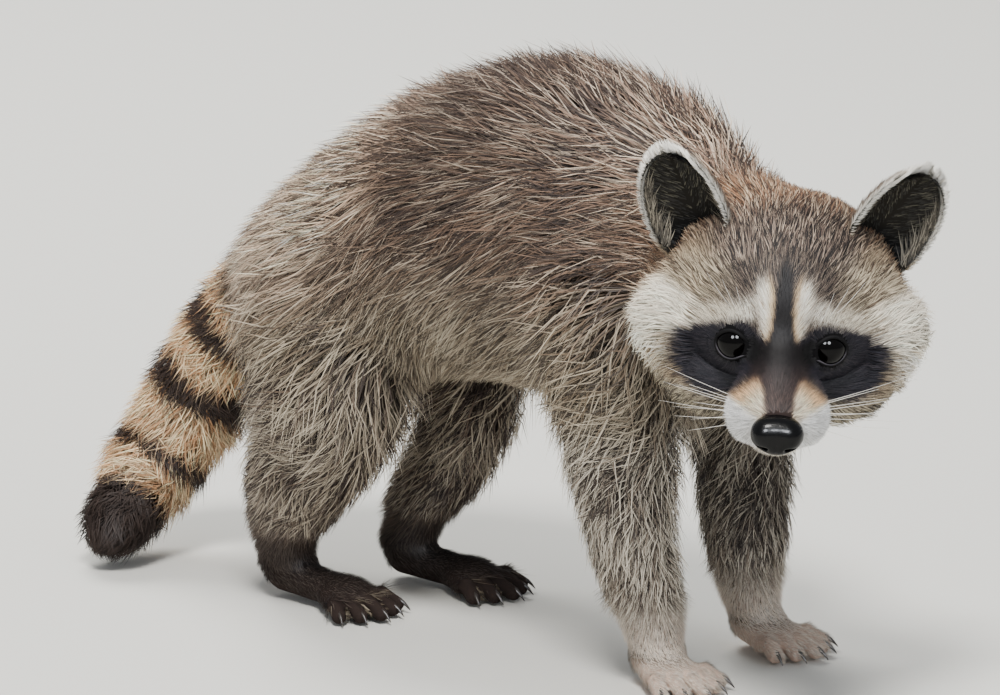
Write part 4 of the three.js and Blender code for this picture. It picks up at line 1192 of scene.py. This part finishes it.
def unwrap(p, region):
    """Where a root lies on an unwrap of its region's own shape, from 0 to 1 both ways over the region."""
    uv = np.zeros((len(p), 2))
    f, l, u = in_head(p)
    for name in np.unique(region):
        m = region == name
        q = p[m]
        if name.startswith(("coat_face", "coat_crown", "coat_ruff", "coat_throat")):
            d = unit(np.stack([f[m] - 8, l[m], u[m] + 8], 1))
            th = np.arccos(np.clip(d[:, 0], -1, 1))
            ph = np.arctan2(d[:, 2], d[:, 1])
            a, b = th * np.cos(ph), th * np.sin(ph)
        elif name.startswith("coat_tail"):
            i, a, _ = TAIL.nearest(q)
            b = np.arctan2(dots(q - TAIL.c[i], TAIL.side[i]), dots(q - TAIL.c[i], TAIL.deep[i]))
        elif "leg" in name:
            tube = LEGS[name[5:]]
            i, a, _ = tube.nearest(q)
            b = np.arctan2(dots(q - tube.c[i], tube.side[i]), dots(q - tube.c[i], tube.deep[i]))
        else:
            a = q[:, 1]
            i, _, _ = TRUNK.nearest(q)
            b = np.arctan2(q[:, 0] - TRUNK.c[i][:, 0], q[:, 2] - TRUNK.c[i][:, 2])
        uv[m, 0] = cast(a, a.min(), a.max())
        uv[m, 1] = cast(b, b.min(), b.max())
    return uv


def region_of(p, w):
    f, l, u = in_head(p)
    k = w.argmax(1)
    name = np.empty(len(p), dtype="<U24")
    left = p[:, 0] > -2
    front = p[:, 1] < -12
    name[:] = "coat_rump"
    name[(k <= 1) & front & left] = "coat_chest_left"
    name[(k <= 1) & front & ~left] = "coat_chest_right"
    name[(k <= 1) & ~front & left] = "coat_rump_left"
    name[(k <= 1) & ~front & ~left] = "coat_rump_right"
    name[k == 1] = "coat_neck"
    head = k == 2
    name[head] = "coat_crown"
    name[head & ((np.abs(l) > 34) | (u < -16)) & (l > 0)] = "coat_ruff_left"
    name[head & ((np.abs(l) > 34) | (u < -16)) & (l <= 0)] = "coat_ruff_right"
    facey = head & (f > 17) & (np.abs(l) < 34) & ~((u < -16) & (f < 34))
    name[facey & (l > 0)] = "coat_face_left"
    name[facey & (l <= 0)] = "coat_face_right"
    for j, n in enumerate(LEG_NAMES):
        name[k == 3 + j] = "coat_" + n
    name[k == 7] = "coat_tail"
    return name


def slot_for(name):
    if name.startswith(("coat_face", "coat_crown", "coat_ruff", "coat_ear")):
        return "coat_face"
    if "leg" in name:
        return "coat_leg"
    if name.startswith("coat_tail"):
        return "coat_tail"
    return "coat_body"


def length_for(depth):
    return 1.9 + 1.56 * depth


def width_for(length):
    return 0.315 + 0.0075 * length


COVER = 1.0


def grow():
    mid = SKIN_V[SKIN_F].mean(1)
    _, _, depth, _ = GRID(mid)
    depth = np.maximum(depth, 0.6)
    L = length_for(depth)
    density = COVER * 9.0 / ((0.37 + 0.0175 * L) * L * 0.5) * np.where(depth < 4.6, 1.03, np.where(depth < 10, 1.52, 2.2))
    wq = SKIN_W[SKIN_F].mean(1)
    f, l, u = in_head(mid)
    k = wq.argmax(1)
    # no hair on the nose, the eyes or the soles
    density = np.where((f > 66) & (k == 2), 0, density)
    for side in (1, -1):
        centre, axis, _, _ = eye_axes(side)
        r = np.linalg.norm((mid - centre) - ((mid - centre) @ axis)[:, None] * axis, axis=1)
        density = np.where((r < 5.8) & (k == 2) & ((mid - centre) @ axis > 0), 0, density)
    nz = SKIN_N[SKIN_F].mean(1)[:, 2]
    density = np.where((mid[:, 2] < 3.0) | ((mid[:, 2] < 9) & (nz < -0.5)), 0, density)
    legs = (k >= 3) & (k <= 6)
    density = np.where(k <= 1, density * 1.1, density)
    density = np.where(legs, density * 0.55, density)
    density = np.where(k == 2, density * 1.1, density)
    density = np.where(mid[:, 2] < 14, density * 0.45, density)
    root, normal, w = scatter(density)
    n = len(root)
    _, _, depth, _ = GRID(root)
    depth = np.maximum(depth, 0.6)
    region = region_of(root, w)
    uv = unwrap(root, region)
    r = rng.random((9, n))
    f, l, u = in_head(root)
    ruff = w[:, 2] * np.maximum(ramp(24, 36, np.abs(l)) * ramp(34, 16, f) * ramp(24, 8, u), 0.7 * ramp(-14, -26, u) * ramp(34, 20, f))
    crown = w[:, 2] * ramp(4, 12, u) * ramp(30, 12, f)
    ridge = (w[:, 0] + w[:, 1]) * ramp(0.35, 0.9, around_trunk(root))
    tail = w[:, 7]
    fringe = w[:, 3:7].sum(1) * ramp(26, 40, root[:, 2])
    L = length_for(depth) * (0.78 + 0.42 * r[0]) * (1 + 0.34 * ruff + 0.15 * crown + 0.15 * tail + 0.5 * fringe)
    height = 0.60 + 0.44 * r[1] ** 0.8 + 0.2 * ruff * r[7] + 0.12 * crown * r[7] + 0.85 * fringe * r[7] ** 2 + 0.25 * tail * r[7] ** 2
    height = height + 1.1 * w[:, 2] * ramp(38, 44, f) * ramp(8, 13, np.abs(l)) * r[7]
    # long guard hairs stand out of the rest
    guard = (r[2] > 0.90 - 0.12 * ridge) & (depth > 6)
    height = np.where(guard, height + 0.10 + 0.22 * ridge * r[7], height)
    L = np.where(guard, L * 1.15, L)
    run = np.sqrt(np.maximum(L**2 - (depth * height) ** 2, (0.35 * L) ** 2))
    k = w.argmax(1)
    run = run * (1 - 0.38 * tail) * (1 - 0.22 * ridge)
    legs_w = w[:, 3:7].sum(1) * ramp(22, 34, root[:, 2])
    swing = (r[3] - 0.5) * np.interp(depth, [1.5, 6, 14, 22], [0.35, 0.70, 1.05, 1.05]) * (1 + 0.7 * legs_w)
    swing = swing + ((0.42 + 0.3 * legs_w) * noise(root, 12, 5) + 0.30 * noise(root, 5, 6)) * np.clip(depth / 8, 0.15, 1)
    swing = swing * (1 + 0.7 * tail + 0.3 * ruff)
    width = width_for(L) * (0.75 + 0.5 * r[4]) * (1 + 0.25 * crown)
    pick, pick2 = r[5], r[6]
    # straight ones where the coat is short, elsewhere finer and coarser locks
    group = np.where(depth < 4.6, 0, np.where(r[8] < 0.6, 1, 2))
    for g_, K in enumerate((2, 3, 3)):
        m = np.nonzero(group == g_)[0]
        if not len(m):
            continue
        pts = trace(root[m], normal[m], run[m], height[m], K - 1, swing[m])
        if g_ > 0:
            pts = clump(pts, 4.4 if g_ == 1 else 6.2, 0.34 if g_ == 1 else 0.48, g_)
        share = 0.6 if g_ < 2 else 0.72
        mid = pts[-1] * share + pts[0] * (1 - share)
        D, g, _, _ = GRID(mid)
        wm = w[m]
        wob = (pick2[m] - 0.5) * 1.6
        hc, griz = face_marks(mid, wob, pick[m])
        hb, _ = face_marks(pts[-1] * 0.3 + pts[0] * 0.7, wob, pick[m])
        he, _ = face_marks(pts[-1] * 0.92 + pts[-2] * 0.08, wob, pick[m])
        shade = 0.90 + 0.2 * r[7][m]
        br, bm, bt = body_marks(mid, wm, pick[m], pick2[m])
        hw = wm[:, 2:3]
        hroot = hb * mix(0.84, 0.50, griz)[:, None]
        htip = np.where((griz > 0.5)[:, None] & (pick2[m] > 0.7)[:, None], he * 0.5, he * mix(1.02, 1.10, griz)[:, None])
        croot, cmid, ctip = (mix(a, b, hw) * shade[:, None] for a, b in ((br, hroot), (bm, hc), (bt, htip)))
        if K == 2:
            col = np.stack([mix(croot, cmid, 0.6), mix(cmid, ctip, 0.75)])
        else:
            col = np.stack([mix(croot, cmid, 0.2), cmid, ctip])
        for name in np.unique(region[m]):
            j = np.nonzero(region[m] == name)[0]
            coat.add(name, *(blades if K == 2 else spindles)(pts[:, j], normal[m][j] * 0.5 + g[j] * 0.5, width[m][j], col[:, j], uv[m][j]))


grow()


def ear_coat(side):
    """Hairs of one ear: short ones over its back and hollow, long pale ones from its edges, and its white rim."""
    point, (up, wide, face) = leaf(side, 1.9, 0.5)
    kinds = [("back", 2600, -1), ("hollow", 2600, 1), ("rim", 1500, 0), ("streak", 420, 1)]
    for kind, count, lay in kinds:
        n = int(count * (1))
        r = rng.random((8, n))
        if kind == "rim":
            way = r[0] * 2 - 1  # round the edge, from one foot over the tip to the other
            t = np.clip(1 - np.abs(way) ** 1.5, 0, 1)
            t = 0.02 + 0.97 * np.sqrt(np.clip(1 - np.abs(way) ** 1.7, 0, 1)) * 0.999
            x = np.sign(way) * np.clip(1.0 - 0.05 * r[1], 0, 1)
            crest = r[6] < 0.2
            t, x = np.where(crest, 0.86 + 0.13 * r[2], t), np.where(crest, r[1] * 2 - 1, x)
        elif kind == "streak":
            t = 0.06 + 0.74 * r[0]
            x = np.where(r[1] < 0.5, -1, 1) * (0.72 + 0.24 * r[2])
        else:
            t = 0.01 + 0.97 * np.sqrt(r[0]) ** 1.2
            x = np.sin((r[1] * 2 - 1) * np.pi / 2) * 0.98
        e = 0.02
        p = point(t, x, lay)
        pt = point(np.clip(t + e, 0, 1), x, lay)
        along = unit(pt - point(np.clip(t - e, 0, 1), x, lay))
        across = unit(point(t, np.clip(x + e, -1, 1), lay) - point(t, np.clip(x - e, -1, 1), lay))
        out = unit(np.cross(along, across))
        want = -face if lay < 0 else face
        out = out * np.sign(out @ want + 1e-6)[:, None]
        outward = across * np.sign(x)[:, None]
        if kind == "rim":
            tip_ward = ramp(0.72, 0.98, t)[:, None]
            out = unit(outward * (1 - tip_ward) + up * tip_ward)
            d = unit(out * (0.75 + 0.3 * r[2][:, None]) + up * 0.55 + face * (0.34 * (r[3] - 0.35))[:, None] + across * (0.3 * (r[4] - 0.5))[:, None])
            L = 2.4 + 2.2 * r[5]
            lift = 0
        elif kind == "back":
            d = unit(along + across * (0.5 * (r[4] - 0.5))[:, None])
            L, lift = 3.4 + 2.0 * r[5], 0.30
        elif kind == "hollow":
            d = unit(along * 0.8 + outward * 0.75 + across * (0.5 * (r[4] - 0.5))[:, None])
            L, lift = 2.6 + 2.2 * r[5], 0.22
        else:
            d = unit(up * 0.9 - outward * (0.2 + 0.9 * r[6] - 0.4 * t)[:, None] + across * (0.5 * (r[4] - 0.5))[:, None])
            L, lift = (4.5 + 7.5 * r[5] ** 1.5) * (1.15 - 0.6 * t), 0.28
        tipdir = unit(d + out * lift * (0.7 + 0.6 * r[6])[:, None])
        p0 = p - out * 0.25
        p1 = p + (d * 0.5 + out * 0.16) * L[:, None]
        p2 = p + tipdir * L[:, None]
        if kind == "rim":
            p1 = p + (d * 0.55) * L[:, None]
            p2 = p + (d + up * 0.12) * L[:, None]
        c = ear_paint(t, x, np.full(n, float(lay)), r[7])
        if kind == "rim":
            c = np.where((r[7] < 0.1)[:, None], rgb(196, 188, 172), rgb(238, 235, 227)) * np.ones((n, 1))
            c = paint_over(c, rgb(190, 168, 140), ramp(0.24, 0.04, t))
        if kind == "streak":
            c = np.where((r[7] < 0.4)[:, None], rgb(148, 140, 124), rgb(84, 78, 68)) * np.ones((n, 1))
        col = np.stack([c * 0.8, c, c * 1.02])
        w = np.full(n, 0.50 if kind != "streak" else 0.34) * (0.8 + 0.5 * r[3])
        uv = np.stack([t, (x + 1) / 4 + (0.5 if lay < 0 else 0.0)], 1)
        line = np.stack([p0, p1, p2])
        if kind in ("back", "hollow"):
            line, col = line[[0, 2]], col[[0, 2]]
        coat.add("coat_ear_" + ("left" if side > 0 else "right"), *blades(line, out, w, col, uv))


for side in (1, -1):
    ear_coat(side)
coat.build(slot_for)


# ------------------------------------------------------------------ eyes and lids
def ball(centre, axis, up, radius, rings=40, around=56, bulge=0.0):
    side = np.cross(up, axis)
    th = np.linspace(0, np.pi, rings + 1)[1:-1]
    ph = np.linspace(0, 2 * np.pi, around, endpoint=False)
    T, P = np.meshgrid(th, ph, indexing="ij")
    r = radius + bulge * ramp(0.75, 0.2, T)
    V = centre + (np.cos(T) * r)[..., None] * axis + (np.sin(T) * np.cos(P) * r)[..., None] * side + (np.sin(T) * np.sin(P) * r)[..., None] * up
    n, m = V.shape[:2]
    V = np.concatenate([V.reshape(-1, 3), (centre + axis * (radius + bulge))[None], (centre - axis * radius)[None]])
    i, j = np.meshgrid(np.arange(n - 1), np.arange(m), indexing="ij")
    a, b = i * m + j, i * m + (j + 1) % m
    Q = np.stack([a, a + m, b + m, b], -1).reshape(-1, 4)
    j = np.arange(m)
    T3 = np.concatenate([np.stack([j, (j + 1) % m, np.full(m, n * m)], 1), np.stack([(n - 1) * m + (j + 1) % m, (n - 1) * m + j, np.full(m, n * m + 1)], 1)])
    return V, Q, T3


def eyelids(side):
    """A ring of lid round the eye, thicker above, with its inner corner drawn out towards the nose."""
    centre, axis, across, up = eye_axes(side)
    n, m = 72, 14
    ph = np.linspace(0, 2 * np.pi, n, endpoint=False)
    c, s = np.cos(ph), np.sin(ph)
    inner_corner, outer_corner = np.clip(-c, 0, 1) ** 7, np.clip(c, 0, 1) ** 9
    r = 5.5 + 1.5 * inner_corner + 0.5 * outer_corner - 0.15 * np.clip(s, 0, 1) ** 2
    droop = -0.9 * inner_corner
    tube = 0.42 + 0.16 * np.clip(s, 0, 1) ** 1.2
    h = np.sqrt(np.maximum(EYE_RADIUS**2 - np.minimum(r - 0.45, 6.75) ** 2, 0)) + 0.1 + 0.25 * np.clip(s, 0, 1)
    mid = centre + axis * h[:, None] + across * (r * c)[:, None] + up * (r * s + droop)[:, None]
    rad = unit(across * c[:, None] + up * s[:, None])
    ps = np.linspace(0, 2 * np.pi, m, endpoint=False)
    V = mid[:, None] + (np.cos(ps)[None, :, None] * rad[:, None] * 1.3 + np.sin(ps)[None, :, None] * axis) * tube[:, None, None]
    i, j = np.meshgrid(np.arange(n), np.arange(m), indexing="ij")
    a, b = i * m + j, ((i + 1) % n) * m + j
    c_, d_ = ((i + 1) % n) * m + (j + 1) % m, i * m + (j + 1) % m
    Q = np.stack([a, b, c_, d_], -1).reshape(-1, 4)
    V = V.reshape(-1, 3)
    if volume_sign(V, Q) < 0:
        Q = Q[:, ::-1]
    S, PS = np.repeat(s, m), np.tile(ps, n)
    # painted highlight: a pale grey-blue line along the lower lid's inner edge stands for light caught on the wet rim
    edge = inside(PS, 1.9, 2.9, 0.25)
    col = np.tile(rgb(7, 6, 7), (len(V), 1))
    col = paint_over(col, rgb(104, 100, 108), edge * ramp(0.1, -0.5, S) * 0.7)
    return V, Q, col


for side, name in ((1, "left"), (-1, "right")):
    centre, axis, across, up = eye_axes(side)
    V, Q, T3 = ball(centre, axis, up, EYE_RADIUS)
    if volume_sign(V, Q) < 0:
        Q, T3 = Q[:, ::-1], T3[:, ::-1]
    eye = make("eyeball_" + name, V, [Q, T3], MATS["eye"], "eye")
    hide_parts("eye_" + name)
    V, Q, col = eyelids(side)
    make("eyelids_" + name, V, Q, MATS["lid"], "coat_face", col)


# ------------------------------------------------------------------ nose
def nose_field(p):
    f, l, u = in_head(p)
    f, u, a = f - NOSE_AT[0], u - NOSE_AT[2], np.abs(l)
    e = ellipsoid(f + 0.8, l, u - 0.9, 6.8, 8.3, 6.1)
    e = blend(e, ellipsoid(f - 0.4, a - 4.6, u - 0.3, 5.4, 4.8, 5.4), 2.5)
    e = blend(e, ellipsoid(f + 0.4, l, u + 3.4, 6.2, 5.4, 3.6), 2.5)
    # nostrils: small, low and outward, each with a short slit to the side
    e = carve(e, ellipsoid(f - 5.0, a - 4.1, u + 3.6, 2.8, 1.1, 0.8), 0.8)
    e = carve(e, ellipsoid(f - 3.2, a - 5.9, u + 3.1, 2.2, 1.6, 0.32), 0.7)
    # the groove down the middle
    groove = np.maximum(np.abs(l) - 0.10, np.maximum(u + 1.5, 3.8 - f))
    return carve(e, groove, 0.6)


c0 = on_head(*NOSE_AT)
V, Q = surface(nose_field, c0 - 14, c0 + 14, 0.5, polish=2, coarse=4, band=2.5)
if volume_sign(V, Q) < 0:
    Q = Q[:, ::-1]
nose = make("nose", V, Q, MATS["nose"], "nose")
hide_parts("nose_pad")


# ------------------------------------------------------------------ claws and whiskers
def rod(path, radius, around):
    """A tapering tube along a path, closed at both ends."""
    path = np.asarray(path, float)
    n = len(path)
    d = unit(np.gradient(path, axis=0))
    ref = np.array([0.13, 0.21, 0.97])
    a = unit(np.cross(d, ref))
    b = np.cross(d, a)
    ph = np.linspace(0, 2 * np.pi, around, endpoint=False)
    V = path[:, None] + (np.cos(ph)[None, :, None] * a[:, None] + np.sin(ph)[None, :, None] * b[:, None]) * np.asarray(radius)[:, None, None]
    i, j = np.meshgrid(np.arange(n - 1), np.arange(around), indexing="ij")
    p, q = i * around + j, i * around + (j + 1) % around
    Q = np.stack([p, q, q + around, p + around], -1).reshape(-1, 4)
    V = np.concatenate([V.reshape(-1, 3), path[:1], path[-1:]])
    j = np.arange(around)
    T = np.concatenate([np.stack([(j + 1) % around, j, np.full(around, n * around)], 1), np.stack([(n - 1) * around + j, (n - 1) * around + (j + 1) % around, np.full(around, n * around + 1)], 1)])
    if volume_sign(V, Q) < 0:
        Q, T = Q[:, ::-1], T[:, ::-1]
    return V, Q, T


def gather(rods):
    vs, qs, ts, base = [], [], [], 0
    for v, q, t in rods:
        vs.append(v)
        qs.append(q + base)
        ts.append(t + base)
        base += len(v)
    return np.concatenate(vs), [np.concatenate(qs), np.concatenate(ts)]


rods = []
for n in LEG_NAMES:
    s = PAWS[n]
    _, _, _, _, toes = paw_frame(s)
    for root, way, long, end in toes:
        t = np.linspace(0, 1, 9)
        a, b = end - way * 1.0 + at(0, 0, 1.2), end + way * s["claw"]
        line = a + (b - a) * t[:, None]
        line[:, 2] = 4.6 + 0.9 * np.sin(t * np.pi * 0.8) - 4.0 * t**1.6
        rods.append(rod(line, 1.25 * (1 - t) ** 0.8 + 0.12, 8))
V, F = gather(rods)
make("claws", V, F, MATS["claw"], "claw")

rods = []
for side in (1, -1):
    for row in range(3):
        for k in range(3 + (row == 1)):
            f0, u0 = 54.5 - 3.3 * k + 0.6 * row, -15.5 - 2.1 * row - 0.5 * k
            L = (23 + 6.5 * k + 3 * rng.random()) * (1.0 if side > 0 else 0.88)
            out = unit(np.array([0.10 - 0.20 * k, side * 1.0, 0.10 - 0.16 * row + 0.05 * k + 0.08 * (rng.random() - 0.5)]))
            t = np.linspace(0, 1, 14)[:, None]
            back = np.array([-0.35, 0, -0.12 - 0.1 * rng.random()])
            q = np.array([f0, side * 10.5, u0]) + out * L * t + back * L * t**2 * 0.8
            line = on_head(q[:, 0], q[:, 1], q[:, 2])
            rods.append(rod(line, 0.10 * (1 - t[:, 0]) ** 0.7 + 0.025, 5))
    for k in range(3):  # over the eye
        q0 = np.array([31.0 - 1.5 * k, side * (13.5 + 2.0 * k), 8.5 + 0.5 * k])
        out = unit(np.array([0.35, side * (0.35 + 0.2 * k), 1.0]))
        t = np.linspace(0, 1, 10)[:, None]
        q = q0 + out * (13 + 3 * k) * t + np.array([-0.6, 0, 0]) * 10 * t**2
        rods.append(rod(on_head(q[:, 0], q[:, 1], q[:, 2]), 0.09 * (1 - t[:, 0]) ** 0.7 + 0.025, 4))
V, F = gather(rods)
make("whiskers", V, F, MATS["whisker"], "whisker")


# ------------------------------------------------------------------ floor, lights and camera
me = bpy.data.meshes.new("floor")
me.from_pydata([(-9, -9, -0.0002), (9, -9, -0.0002), (9, 9, -0.0002), (-9, 9, -0.0002)], [], [(0, 1, 2, 3)])
me.materials.append(MATS["floor"])
floor = bpy.data.objects.new("floor", me)
bpy.context.scene.collection.objects.link(floor)

AZ, EL = math.radians(-47.0), math.radians(14.0)
RIGHT = np.array([math.cos(AZ), math.sin(AZ), 0])
BACK = np.array([math.sin(AZ) * math.cos(EL), -math.cos(AZ) * math.cos(EL), math.sin(EL)])
UP = np.cross(BACK, RIGHT)
origin = SHIFT / 1000.0


def aim(obj, where, target):
    from mathutils import Vector

    obj.location = Vector(where)
    obj.rotation_euler = (Vector(target) - Vector(where)).to_track_quat("-Z", "Y").to_euler()


cam = bpy.data.objects.new("camera", bpy.data.cameras.new("camera"))
bpy.context.scene.collection.objects.link(cam)
cam.data.lens, cam.data.sensor_width = 383.04, 36.0
place = origin + BACK * 4.0 - RIGHT * 0.00902 + UP * 0.1036
aim(cam, place, place - BACK)
cam.data.clip_start, cam.data.clip_end = 0.1, 60
bpy.context.scene.camera = cam


def lamp(name, where, target, size, watts, colour, gloss=True):
    d = bpy.data.lights.new(name, "AREA")
    d.shape, d.size, d.energy, d.color = "DISK", size, watts, colour
    o = bpy.data.objects.new(name, d)
    bpy.context.scene.collection.objects.link(o)
    aim(o, where, target)
    o.visible_glossy = gloss
    return o


middle = np.array([0, 0, 0.11])
lamp("key", middle + BACK * 1.5 + UP * 1.65 + RIGHT * -0.2, middle, 0.65, 66, (1.0, 0.98, 0.94))
lamp("fill", middle + BACK * 2.0 + UP * 0.5 + RIGHT * 1.5, middle, 1.6, 12, (0.94, 0.97, 1.0), False)
lamp("rim", middle - BACK * 0.8 + UP * 1.7 - RIGHT * 0.5, middle, 1.0, 44, (1.0, 0.99, 0.95), False)
for k, part in ((-1, "left"), (1, "right")):
    catch = lamp("catch_" + part, middle + BACK * 1.9 + UP * 0.66 + RIGHT * 0.42 * k, middle, 0.56, 46, (0.92, 0.95, 1.0))
    catch.visible_diffuse = False  # only there to light a spark in the eyes
w = bpy.data.worlds.new("world")
bpy.context.scene.world = w
w.use_nodes = True
w.node_tree.nodes["Background"].inputs["Color"].default_value = (0.93, 0.96, 1.0, 1)
w.node_tree.nodes["Background"].inputs["Strength"].default_value = 0.55
